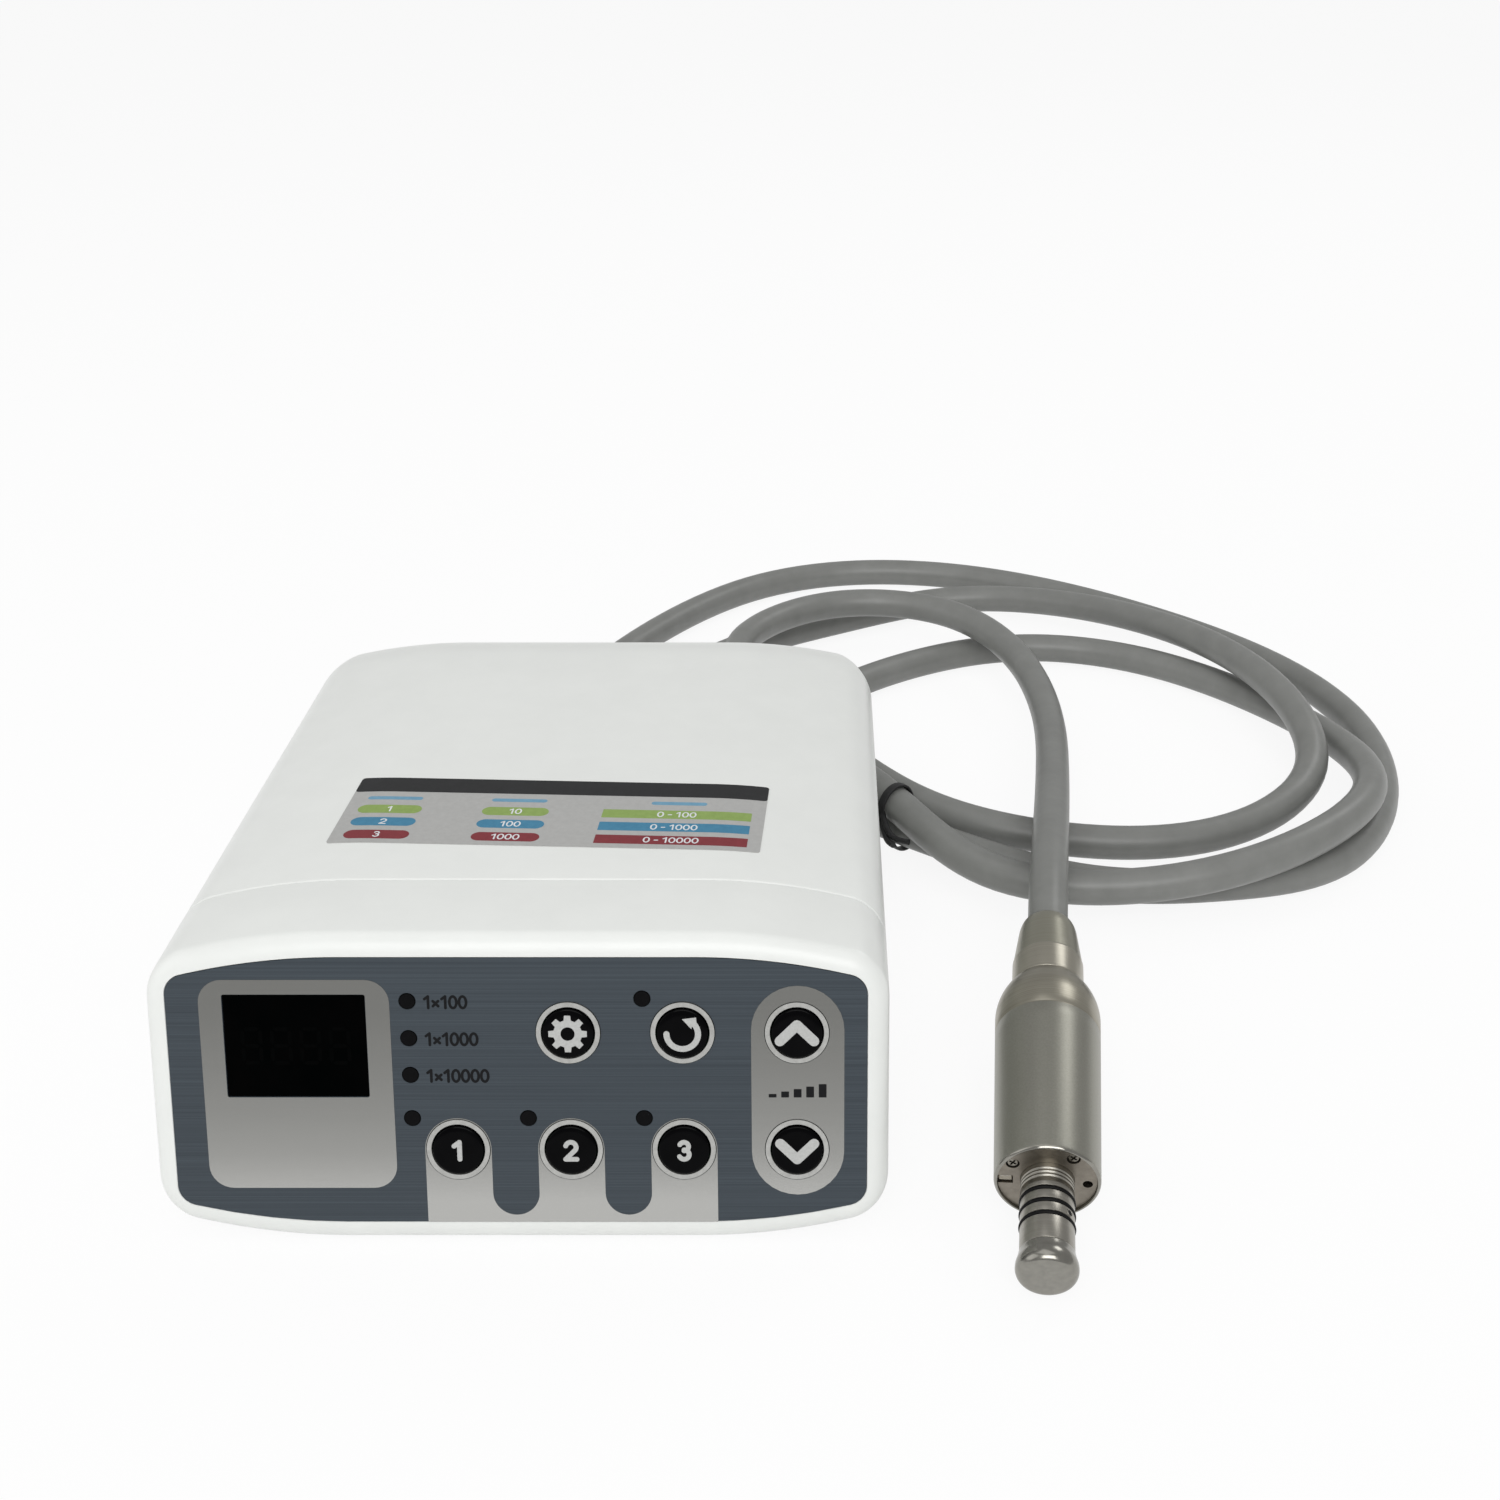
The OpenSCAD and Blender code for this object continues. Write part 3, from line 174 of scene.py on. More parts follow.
# Painted sheen: the panel's silver darkens from its lower edge upwards, a ramp by height painted into its
# colour
PAINTED_SHEEN_LOW_Z, PAINTED_SHEEN_HIGH_Z, SILVER_SPECKS, SILVER_GRAIN = 9, 46, 4200, 0.16
silver = Shader("satin_silver_painted_sheen", Metallic=0.85)
axes = silver.add("ShaderNodeSeparateXYZ", {"Vector": silver.place})
height = silver.add("ShaderNodeMapRange", {"Value": axes.outputs["Z"]},
                    {"From Min": PAINTED_SHEEN_LOW_Z * MM, "From Max": PAINTED_SHEEN_HIGH_Z * MM,
                     "To Max": 1 - SILVER_GRAIN})
specks = silver.noise((SILVER_SPECKS,) * 3, detail=2)
# The ramp's fac: fine specks as grain, added to the height ramp of painted sheen
grain = silver.add("ShaderNodeMath", {0: specks, 2: height.outputs["Result"]}, {1: SILVER_GRAIN},
                   operation="MULTIPLY_ADD")
silver.colour(grain.outputs[0], (0.08, linear(182, 182, 179)), (0.3, linear(155, 155, 152)),
              (0.48, linear(143, 143, 140)), (0.7, linear(132, 132, 129)), (0.94, linear(123, 123, 120)))
silver.rough(silver.noise(HAIR_GLOSS), 0.18, 0.26)
silver.bump(silver.noise(HAIRLINES), 0.003)

rim_silver = simple("rim_silver", (168, 168, 165), (186, 186, 183), (0.2, 0.3), 900, 0.004, Metallic=0.6)
black_gloss = simple("key_black", (2, 2, 3), (5, 5, 6), (0.1, 0.18), 200, 0.001, 1200,
                     Specular_IOR_Level=0.05)
display_black = simple("display_black", (0, 1, 1), (2, 2, 2), (0.1, 0.16), 120, 0.001, 900,
                       Specular_IOR_Level=0.01)
lens_black = simple("lens_smoke", (2, 2, 3), (6, 6, 8), (0.12, 0.2), 1500, 0.003, Specular_IOR_Level=0.08)
legend_silver = simple("legend_silver", (176, 177, 175), (192, 193, 191), (0.35, 0.45), 2500, 0.003,
                       Metallic=0.25)
legend_white = simple("legend_white", (206, 209, 212), (226, 228, 230), (0.4, 0.5), 1200, 0.003)
legend_navy = simple("legend_navy", (5, 6, 9), (10, 11, 14), (0.4, 0.5), 1200, 0.003,
                     Specular_IOR_Level=0.2)
segment_grey = simple("segment_grey", (2, 3, 3), (4, 4, 4), (0.2, 0.3), 900, 0.002, Specular_IOR_Level=0.01)
label_silver = simple("label_silver", (175, 175, 173), (182, 182, 180), (0.36, 0.44), 900, 0.003, 2500,
                      Metallic=0.2)
label_black = simple("label_black", (14, 15, 17), (22, 23, 25), (0.35, 0.45), 500, 0.003,
                     Specular_IOR_Level=0.35)
label_green = simple("label_green", (128, 154, 76), (138, 164, 86), (0.35, 0.45), 800, 0.003)
label_blue = simple("label_blue", (48, 117, 150), (58, 127, 160), (0.35, 0.45), 800, 0.003)
label_red = simple("label_red", (116, 24, 34), (126, 32, 42), (0.35, 0.45), 800, 0.003)
label_sky = simple("label_sky", (96, 144, 172), (108, 156, 182), (0.35, 0.45), 800, 0.003)

# Handpiece metals: object coordinates of these pieces are the handpiece's own, its axis along z
satin_steel = simple("satin_steel", (147, 146, 137), (155, 154, 145), (0.34, 0.42), 2600, 0.004, 3600,
                     Metallic=1.0)
turned_steel = turned("turned_steel", (150, 146, 134), (164, 160, 147), (0.28, 0.38), 4000, 0.002)
dark_steel = turned("dark_steel", (154, 152, 139), (164, 162, 149), (0.3, 0.4), 4000, 0.002)
# The ferrule collar's steel, lighter than the cone's: a painted highlight
ferrule_steel_painted_highlight = turned("ferrule_steel_painted_highlight", (162, 158, 146), (174, 170, 158), (0.28, 0.38), 4000, 0.002)
bright_steel = simple("bright_steel", (140, 138, 132), (150, 148, 141), (0.1, 0.16), 700, 0.001, 2000,
                      Metallic=1.0)
nose_steel = turned("nose_steel", (146, 143, 135), (160, 157, 149), (0.26, 0.34), 3200, 0.002)
cap_steel = simple("cap_steel", (138, 136, 130), (148, 146, 139), (0.18, 0.24), 700, 0.001, 2000,
                   Metallic=1.0)

steel = simple("screw_steel", (150, 150, 148), (182, 182, 180), (0.2, 0.32), 800, 0.004, Metallic=1.0)
plate_screw_steel = simple("plate_screw_steel", (122, 118, 110), (150, 146, 137), (0.2, 0.32), 800, 0.004,
                           Metallic=1.0)
plate_steel = simple("plate_steel", (126, 120, 111), (140, 134, 124), (0.34, 0.44), 700, 0.003,
                     Metallic=1.0)
rubber = simple("rubber_black", (16, 16, 17), (26, 26, 27), (0.45, 0.6), 700, 0.012, 2600)
# Black rubber of the O-rings, also the painted shade on the disc in the nose port's mouth
ring_rubber_and_port_shade = simple("ring_rubber_and_port_shade", (6, 6, 7), (12, 12, 13), (0.45, 0.6), 700, 0.004, 2600,
                     Specular_IOR_Level=0.15)
foot_rubber = simple("foot_rubber", (44, 44, 46), (58, 58, 60), (0.6, 0.75), 400, 0.02, 1800)
plastic_black = simple("plastic_black", (18, 18, 20), (28, 28, 30), (0.35, 0.5), 300, 0.012, 1800)
relief_grey = simple("relief_grey", (58, 59, 61), (72, 73, 75), (0.5, 0.62), 300, 0.012, 1800)
silicone = simple("silicone_grey", (118, 119, 116), (126, 127, 124), (0.34, 0.44), 130, 0.005, 900,
                  Specular_IOR_Level=0.5)
board_green = simple("board_green", (18, 74, 42), (30, 96, 58), (0.3, 0.45), 500, 0.02, 1600)
component = simple("component_black", (22, 22, 24), (34, 34, 36), (0.4, 0.5), 600, 0.01)
aluminium = simple("sink_aluminium", (150, 152, 154), (176, 178, 180), (0.3, 0.42), 500, 0.01, Metallic=1.0)
blue_sleeve = simple("capacitor_blue", (32, 52, 108), (44, 66, 124), (0.25, 0.35), 400, 0.005)
ivory = simple("header_ivory", (206, 200, 180), (222, 217, 200), (0.4, 0.5), 400, 0.01)
iron = simple("core_iron", (84, 84, 86), (108, 108, 110), (0.35, 0.5), 700, 0.01, Metallic=1.0)
copper = simple("coil_copper", (166, 96, 52), (196, 122, 74), (0.25, 0.4), 900, 0.03, 2500, Metallic=1.0)
gold = simple("contact_gold", (198, 160, 82), (222, 188, 112), (0.18, 0.28), 900, 0.004, Metallic=1.0)
lamp = simple("lamp_clear", (176, 168, 152), (192, 184, 168), (0.08, 0.14), 900, 0.002,
              Transmission_Weight=0.35)

NODE_MATERIALS = {
    white_base: "base_tray", white_rear: "rear_panel", slate: "panel_overlay",
    display_black: "display_window", rim_silver: "button_rims", lens_black: "indicator_lenses",
    board_green: "keypad_board main_board",
    component: "display_module key_switches", steel: "keypad_screws board_screws base_screws",
    blue_sleeve: "filter_capacitors", aluminium: "heat_sink", ivory: "board_connectors connector_block",
    foot_rubber: "rubber_feet", plastic_black: "power_switch power_rocker dc_inlet gland_nut",
    bright_steel: "coupling_inlet front_bearing rear_bearing motor_shaft drive_dog",
    relief_grey: "strain_relief", plate_steel: "front_plate", iron: "rotor_magnet stator_core",
    copper: "stator_coils", gold: "contact_pins",
}


CAD_MERGE, CAD_SHARP = 0.002, math.radians(32)


def smooth_nodes():
    """A modifier that joins a CAD mesh's split vertices and smooths it, except at sharp edges."""
    tree = bpy.data.node_groups.new("smooth_by_angle", "GeometryNodeTree")
    for way in ("INPUT", "OUTPUT"):
        tree.interface.new_socket("Geometry", in_out=way, socket_type="NodeSocketGeometry")
    start, end = tree.nodes.new("NodeGroupInput"), tree.nodes.new("NodeGroupOutput")
    merge = tree.nodes.new("GeometryNodeMergeByDistance")
    merge.inputs["Distance"].default_value = CAD_MERGE * MM
    angle = tree.nodes.new("GeometryNodeInputMeshEdgeAngle")
    flat = tree.nodes.new("FunctionNodeCompare")
    flat.operation = "LESS_THAN"
    flat.inputs["B"].default_value = CAD_SHARP
    edges = tree.nodes.new("GeometryNodeSetShadeSmooth")
    edges.domain = "EDGE"
    faces = tree.nodes.new("GeometryNodeSetShadeSmooth")
    for a, b in ((start.outputs[0], merge.inputs["Geometry"]), (merge.outputs[0], edges.inputs["Geometry"]),
                 (angle.outputs["Unsigned Angle"], flat.inputs["A"]),
                 (flat.outputs[0], edges.inputs["Shade Smooth"]),
                 (edges.outputs[0], faces.inputs["Geometry"]), (faces.outputs[0], end.inputs[0])):
        tree.links.new(a, b)
    return tree


smoothing = smooth_nodes()
for shader, names in NODE_MATERIALS.items():
    for name in names.split():
        node = NODES[name]
        node.data.materials.clear()
        node.data.materials.append(shader.material)
        node.modifiers.new("smooth", "NODES").node_group = smoothing


# Helpers that make pieces
PIECE_MERGE, PIECE_SHARP, SHELL_SHARP = 0.0005, 35.0, 40.0
AXIS_R, LATHE_N = 0.0005, 112


def enlist(obj, body, nodes):
    """Links a piece, hangs it on the body that carries it and hides the nodes that it replaces."""
    scene.collection.objects.link(obj)
    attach(obj, body)
    if nodes:
        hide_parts(*nodes)
    return obj


def piece(name, mesh, shaders, body=ROOT, nodes=(), angle=PIECE_SHARP):
    """A cleaned mesh as a piece, with its materials."""
    work = bmesh.new()
    work.from_mesh(mesh)
    bmesh.ops.remove_doubles(work, verts=work.verts, dist=PIECE_MERGE * MM)
    bmesh.ops.recalc_face_normals(work, faces=work.faces)
    work.to_mesh(mesh)
    work.free()
    mesh.polygons.foreach_set("use_smooth", [True] * len(mesh.polygons))
    mesh.set_sharp_from_angle(angle=math.radians(angle))
    obj = bpy.data.objects.new(name, mesh)
    for shader in shaders if isinstance(shaders, (list, tuple)) else [shaders]:
        mesh.materials.append(shader.material)
    return enlist(obj, body, nodes)


def mesh_of(name, points, faces, indices=None):
    """A mesh of points in millimetres, with a material index for each face."""
    mesh = bpy.data.meshes.new(name)
    mesh.from_pydata([Vector(p) * MM for p in points], [], faces)
    if indices:
        mesh.polygons.foreach_set("material_index", indices)
    return mesh


def loft_faces(rings, n):
    """Faces between closed rings of n points each."""
    return [(j * n + i, j * n + (i + 1) % n, (j + 1) * n + (i + 1) % n, (j + 1) * n + i)
            for j in range(rings - 1) for i in range(n)]


def rounded(profile, steps):
    """A profile of (r, z, radius): each corner with a radius becomes a smooth bend."""
    out = []
    for i, (r, z, bend) in enumerate(profile):
        here = Vector((r, z))
        if not bend or i in (0, len(profile) - 1):
            out.append(here)
            continue
        before, after = Vector(profile[i - 1][:2]) - here, Vector(profile[i + 1][:2]) - here
        a = here + before.normalized() * min(bend, before.length * 0.49)
        b = here + after.normalized() * min(bend, after.length * 0.49)
        for k in range(steps + 1):
            t = k / steps
            out.append(a * (1 - t) ** 2 + here * 2 * t * (1 - t) + b * t ** 2)
    return out


def spin(profile, segments=LATHE_N):
    """Points and faces of a profile of (r, z) turned about the z axis."""
    angles = [2 * math.pi * i / segments for i in range(segments)]
    points = [(max(r, AXIS_R) * math.cos(a), max(r, AXIS_R) * math.sin(a), z)
              for r, z in profile for a in angles]
    return points, loft_faces(len(profile), segments)


def joined(name, parts):
    """One mesh of several lists of points and faces."""
    points, faces = [], []
    for some, loops in parts:
        start = len(points)
        faces += [tuple(start + i for i in loop) for loop in loops]
        points += some
    return mesh_of(name, points, faces)


def lathe(name, profile, place, shaders, body=ROOT, nodes=(), segments=LATHE_N, index=None):
    """Turns a profile of (r, z) about the z axis of place. The mesh keeps that axis as its own z."""
    points, faces = spin(profile, segments)
    indices = None
    if index:
        indices = [index((profile[j][1] + profile[j + 1][1]) / 2, (profile[j][0] + profile[j + 1][0]) / 2)
                   for j in range(len(profile) - 1) for i in range(segments)]
    obj = piece(name, mesh_of(name, points, faces, indices), shaders, body, nodes)
    put(obj, place, body)
    return obj


def put(obj, place, body):
    """Sets a piece at a place given in millimetres, and lets it ride from there."""
    matrix = place.copy()
    matrix.translation = place.translation * MM
    obj.parent = None
    obj.matrix_world = matrix
    bpy.context.view_layer.update()
    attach(obj, body)


def basis(x, y, z, at):
    """A place with these axes."""
    m = Matrix((x, y, z)).transposed().to_4x4()
    m.translation = at
    return m


PANEL = basis((1, 0, 0), (0, math.sin(LEAN), math.cos(LEAN)), (0, -math.cos(LEAN), math.sin(LEAN)),
              CONSOLE_AT + Vector((0, math.tan(LEAN) * HALF_H, HALF_H)))
HP_BACK = Vector((math.cos(HP_PITCH) * math.sin(HP_YAW), math.cos(HP_PITCH) * math.cos(HP_YAW),
                  math.sin(HP_PITCH)))
HP_RIGHT = Vector((math.cos(HP_YAW), -math.sin(HP_YAW), 0))
HANDPIECE = basis(HP_RIGHT, HP_BACK.cross(HP_RIGHT), HP_BACK, HP_AT)


def on_axis(z):
    """A point of the handpiece's axis."""
    return HP_AT + HP_BACK * z


# Hose: the route of the CAD model's hose
GLAND_END = Vector((-43.7, 113.5, 26.6))
HOSE_LEAD, HOSE_LENGTH = 11, 2.135
HOSE_STEPS, HOSE_ROUND = 10, 9
ROUTE = [
    (-44, 146, 19), (-43, 172, 5), (-32, 206, 5), (6, 268, 5), (58, 283, 5), (108, 267, 5), (149, 234, 5),
    (182.5, 197, 5), (201.5, 151, 5), (196, 98, 5), (172.5, 58, 5), (140, 51, 5), (104, 48, 5), (70, 67, 6.5),
    (32, 98, 6.5), (14, 135, 5), (36, 170, 5), (66, 196, 5), (102, 211, 5), (142, 199, 5), (172.5, 165, 5.5),
    (189, 122, 10), (188, 79, 17), (152, 45, 15.5), (112, 38, 10), (74, 44, 10), (55, 76, 16), (32, 106, 20),
    (-1, 131, 11), (-22, 165, 5), (2, 207, 5), (42, 231, 5), (78, 254, 5), (118, 240, 9), (152, 202, 15),
    (174, 152, 18.5), (179.5, 100, 12.5), (146, 72, 6), (104, 69, 6), (66, 80, 9), (46, 108, 9),
    (20, 136, 17), (2, 172, 18), (19, 206, 17), (45, 221, 17), (80, 212, 17), (99, 178, 15),
    (103, 136, 13), (99, 98, 16), (94, 60, 22), (89.5, 28, 26)]


def bspline(points, steps):
    """Uniform cubic B-spline through its first and last point."""
    p = [2 * points[0] - points[1], *points, 2 * points[-1] - points[-2]]
    out = []
    for i in range(len(points) - 1):
        for k in range(steps):
            t = k / steps
            out.append((p[i] * (1 - t) ** 3 + p[i + 1] * (3 * t ** 3 - 6 * t * t + 4)
                        + p[i + 2] * (3 * t * t - 3 * t ** 3 + 3 * t + 1) + p[i + 3] * t ** 3) / 6)
    return out + [points[-1]]


def tube(name, points, radius, shader, resolution, nodes=()):
    """A round tube along points, as a curve of one open spline."""
    curve = bpy.data.curves.new(name, "CURVE")
    curve.dimensions = "3D"
    curve.bevel_depth = radius * MM
    curve.bevel_resolution = resolution
    curve.use_fill_caps = True
    spline = curve.splines.new("POLY")
    spline.points.add(len(points) - 1)
    for point, at in zip(spline.points, points):
        point.co = (*(at * MM), 1)
    spline.use_smooth = True
    curve.materials.append(shader.material)
    return enlist(bpy.data.objects.new(name, curve), ROOT, nodes)


hose_line = bspline([GLAND_END, GLAND_END + Vector((0, HOSE_LEAD, 0)), *(Vector(p) for p in ROUTE),
                     on_axis(FERRULE_END + HOSE_LEAD), on_axis(FERRULE_END)], HOSE_STEPS)
hose = tube("hose", hose_line, HOSE_D / 2, silicone, HOSE_ROUND, ("motor_hose",))


# Console shells
CORNER_STEPS, BOW_STEPS = 16, 14
SIDE_SHARES, FLAT_SHARES = (0.0, 0.5, 0.85, 0.96), (0.96, 0.85, 0.5, 0.0)


def fall(x):
    """How far the housing's top lies below its middle at x."""
    return BOW_CURVE * max(0.0, abs(x) - FLAT_HALF) ** 2


def fall_angle(x):
    """The slope of the housing's top at x."""
    return math.atan(2 * BOW_CURVE * max(0.0, x - FLAT_HALF))


def section(half_w, half_h, r, bowed=True):
    """Outline of the housing: upright sides, round corners, a top and bottom that fall away if bowed."""
    x_mid = half_w - r
    slope = fall_angle(x_mid + r * math.sin(fall_angle(x_mid))) if bowed else 0.0
    x_end = x_mid + r * math.sin(slope)
    z_mid = half_h - (fall(x_end) if bowed else 0.0) - r * math.cos(slope)
    up = [(half_w, z_mid * k) for k in SIDE_SHARES]
    for i in range(CORNER_STEPS + 1):
        a = (math.pi / 2 - slope) * i / CORNER_STEPS
        up.append((x_mid + r * math.cos(a), z_mid + r * math.sin(a)))
    for i in range(1, BOW_STEPS + 1):
        x = x_end + (FLAT_HALF - x_end) * i / BOW_STEPS
        up.append((x, half_h - (fall(x) if bowed else 0.0)))
    up += [(FLAT_HALF * k, half_h) for k in FLAT_SHARES]
    left = [(-x, z) for x, z in up[-2::-1]]
    below = [(x, -z) for x, z in (up + left)[-2:0:-1]]
    return up + left + below


SECTION_N = len(section(HALF_W, HALF_H, CORNER_R))


def lean_at(y):
    """The lean of a section at y: all of it on the bezel, none at the back."""
    return math.tan(LEAN) * (1 - min(1, max(0, (y - BEZEL_D) / (DEPTH - BACK_CORNER_R - BEZEL_D))))


def ring_at(y, outline, mid=HALF_H):
    """An outline as a leaning section of the console."""
    return [CONSOLE_AT + Vector((x, y + lean_at(y) * (mid + z), mid + z)) for x, z in outline]


def ring(y, dx=0.0, dz=0.0):
    """The housing's section at y, smaller by dx at each side and dz above and below."""
    return ring_at(y, section(HALF_W - dx, HALF_H - dz, max(CORNER_MIN_R, CORNER_R - dx)))


CUT_TOLERANCE = 1e-7


def shell(name, rings, shader, nodes, cut=None):
    """A shell through rings. A cut takes away what lies below that height."""
    points = [p for r in rings for p in r]
    mesh = mesh_of(name, points, loft_faces(len(rings), SECTION_N))
    if cut is not None:
        work = bmesh.new()
        work.from_mesh(mesh)
        found = bmesh.ops.bisect_plane(work, geom=work.verts[:] + work.edges[:] + work.faces[:],
                                       dist=CUT_TOLERANCE, plane_co=(0, 0, cut * MM),
                                       plane_no=(0, 0, 1), clear_inner=True)
        rim = [e for e in found["geom_cut"] if isinstance(e, bmesh.types.BMEdge) and e.is_boundary]
        # The cut edge turns in by a wall, so that the shell shows its thickness
        middle, inside = CONSOLE_AT * MM, {}
        for e in rim:
            for v in e.verts:
                if v not in inside:
                    inside[v] = work.verts.new(v.co)
                    inside[v].co.x += WALL * MM if v.co.x < middle.x else -WALL * MM
            work.faces.new((*e.verts, inside[e.verts[1]], inside[e.verts[0]]))
        work.to_mesh(mesh)
        work.free()
    return piece(name, mesh, shader, nodes=nodes, angle=SHELL_SHARP)


SEAM_R, SEAM_LIP = 0.35, 3
RECESS_START, RECESS_FIT, RECESS_LEDGE = 0.12, 0.1, 1.5
quarter = [math.radians(a) for a in range(0, 91, 10)]


def overlay_section(inset):
    """The overlay's outline as the upright section sees it."""
    outline = section(OVERLAY_HALF_W - inset, OVERLAY_HALF_H - inset, OVERLAY_R - inset)
    return [(x, z * math.cos(LEAN)) for x, z in outline]


def seam_rings(y, way):
    """The round edge of a shell at the seam: way is 1 where the shell lies behind y, -1 where before."""
    rings = [ring(y + way * SEAM_LIP, WALL, WALL), ring(y, WALL, WALL)]
    for a in quarter:
        sunk = SEAM_R * (1 - math.sin(a))
        rings.append(ring(y + way * SEAM_R * (1 - math.cos(a)), sunk, sunk))
    return rings


outer = section(HALF_W, HALF_H, CORNER_R)
bezel_rings = seam_rings(BEZEL_D, -1)
# The front edge rounds from the outside over to the recess that the overlay lies in
shift = OVERLAY_V * math.cos(LEAN)
for a in reversed(quarter):
    blend = 1 - math.sin(a)
    outline = [(p[0] + (q[0] - p[0]) * blend, p[1] + (q[1] + shift - p[1]) * blend)
               for p, q in zip(outer, overlay_section(0))]
    bezel_rings.append(ring_at(EDGE_R * (1 - math.cos(a)), outline))
recess = OVERLAY_T / math.cos(LEAN)
for y, inset in ((RECESS_START, RECESS_FIT), (recess, RECESS_FIT), (recess, RECESS_LEDGE)):
    bezel_rings.append(ring_at(y, overlay_section(inset), HALF_H + shift))
shell("bezel_shell", bezel_rings, white_housing, ("front_bezel",))

COVER_SECTIONS, BACK_STEPS = (40, 80, 120), 12
cover_rings = seam_rings(BEZEL_D + SEAM_GAP, 1)
cover_rings += [ring(y) for y in COVER_SECTIONS]
for k in range(BACK_STEPS + 1):
    a = math.radians(90 * k / BACK_STEPS)
    cover_rings.append(ring(DEPTH - BACK_CORNER_R * (1 - math.sin(a)), BACK_CORNER_R * (1 - math.cos(a)),
                            BACK_EDGE_R * (1 - math.cos(a))))
# The back turns over a small lip into the recess of the rear panel
REAR_DEEP, LIP_R, LIP_MID, REAR_LEDGE = DEPTH - REAR_RECESS - 1, 0.6, 0.17, 2
for grow, y in ((LIP_R, DEPTH), (LIP_MID, DEPTH - LIP_MID), (0, DEPTH - LIP_R), (0, REAR_DEEP),
                (-REAR_LEDGE, REAR_DEEP)):
    outline = section(REAR_HALF_W + grow, REAR_HALF_H + grow, REAR_R + grow, bowed=False)
    cover_rings.append(ring_at(y, outline))
shell("cover_shell", cover_rings, white_housing, ("top_cover",), CONSOLE_AT.z + PARTING_Z)


# Prints on the panel
BOX_STEPS, CROSSING_LIFT = 8, 0.002


def arc_points(u, v, r, start, end, n):
    """Points of an arc, from a start to an end in degrees."""
    angles = [math.radians(start + (end - start) * k / n) for k in range(n + 1)]
    return [(u + r * math.cos(a), v + r * math.sin(a)) for a in angles]


def disc(u, v, r, n=64):
    """Points of a whole circle."""
    return arc_points(u, v, r, 0, 360 * (n - 1) / n, n - 1)


def box(u0, v0, u1, v1, r):
    """Points of a rectangle with round corners."""
    corners = ((u1 - r, v1 - r), (u0 + r, v1 - r), (u0 + r, v0 + r), (u1 - r, v0 + r))
    return [p for k, at in enumerate(corners) for p in arc_points(*at, r, 90 * k, 90 * k + 90, BOX_STEPS)]


def filled(name, curve, thick):
    """The mesh of a flat curve, filled and given a thickness."""
    curve.fill_mode = "BOTH"
    curve.extrude = thick / 2 * MM
    source = bpy.data.objects.new(name, curve)
    scene.collection.objects.link(source)
    mesh = bpy.data.meshes.new_from_object(source.evaluated_get(bpy.context.evaluated_depsgraph_get()))
    bpy.data.objects.remove(source)
    mesh.name = name
    mesh.materials.clear()
    return mesh


def outline_mesh(name, groups, thick):
    """One mesh of filled groups of outlines. Later groups lie a hair higher, so that they may cross."""
    work = bmesh.new()
    for i, outlines in enumerate(groups):
        curve = bpy.data.curves.new(name, "CURVE")
        curve.dimensions = "2D"
        for points in outlines:
            spline = curve.splines.new("POLY")
            spline.points.add(len(points) - 1)
            for point, (u, v) in zip(spline.points, points):
                point.co = (u * MM, v * MM, 0, 1)
            spline.use_cyclic_u = True
        mesh = filled(name, curve, thick)
        mesh.transform(Matrix.Translation((0, 0, CROSSING_LIFT * i * MM)))
        work.from_mesh(mesh)
    mesh = bpy.data.meshes.new(name)
    work.to_mesh(mesh)
    work.free()
    return mesh


def flat(name, shader, *groups, at=(0, 0), lift=0.0, thick=0.05, body=ROOT, slot=None):
    """A thin print on the panel: groups of filled outlines, the inner ones of a group as holes."""
    mesh = outline_mesh(name, groups, thick)
    matrix = PANEL.copy()
    matrix.translation = PANEL.translation * MM
    mesh.transform(matrix @ Matrix.Translation((at[0] * MM, at[1] * MM, (lift + thick / 2) * MM)))
    return piece(name, mesh, shader, body)


def key_at(column, row):
    """The middle of a key on the panel."""
    return KEY_U0 + KEY_DU * column, KEY_V0 - KEY_DV * row


KEYS = {"gear": (1, 0), "reverse": (2, 0), "speed_up": (3, 0), "speed_down": (3, 1),
        "memory_1": (0, 1), "memory_2": (1, 1), "memory_3": (2, 1)}
RIM_HOLE_R, PRINT_LIFT = 6.25, 0.01
# Left, lower, right and upper edges, and the corners' radius
DISPLAY_FRAME, DISPLAY_HOLE = (-60.4, -19.45, -24.1, 22.75, 4.6), (-55.95, -0.85, -28.65, 19.85, 0.5)
SPEED_FRAME = (44.55, -20.85, 62.35, 21.6, 8.9)
flat("display_surround", silver, [box(*DISPLAY_FRAME), box(*DISPLAY_HOLE)], lift=PRINT_LIFT,
     slot="rim_silver")
flat("speed_surround", silver, [box(*SPEED_FRAME)] + [disc(*key_at(3, row), RIM_HOLE_R) for row in (0, 1)],
     lift=PRINT_LIFT, slot="rim_silver")
ARCH_R, CROWN_BOTTOM, NOTCH_V = 6.4, -26.55, -20.55
crown = [(key_at(0, 1)[0] - ARCH_R, CROWN_BOTTOM)]
for column in range(3):
    u, v = key_at(column, 1)
    crown += arc_points(u, v, ARCH_R, 180, 0, 32)
    if column < 2:
        crown += arc_points(u + KEY_DU / 2, NOTCH_V, KEY_DU / 2 - ARCH_R, 180, 360, 20)
crown.append((key_at(2, 1)[0] + ARCH_R, CROWN_BOTTOM))
flat("memory_surround", silver, [crown] + [disc(*key_at(c, 1), RIM_HOLE_R) for c in range(3)],
     lift=PRINT_LIFT, slot="rim_silver")


def cog(teeth, outer_r, root_r):
    """The outline of a small gear."""
    out = []
    for k in range(teeth):
        for r, share in ((root_r, -0.32), (outer_r, -0.2), (outer_r, 0.2), (root_r, 0.32)):
            a = 2 * math.pi * (k + share) / teeth
            out.append((r * math.cos(a), r * math.sin(a)))
    return out


ROD_STEPS, ROD_BEND = 8, -20


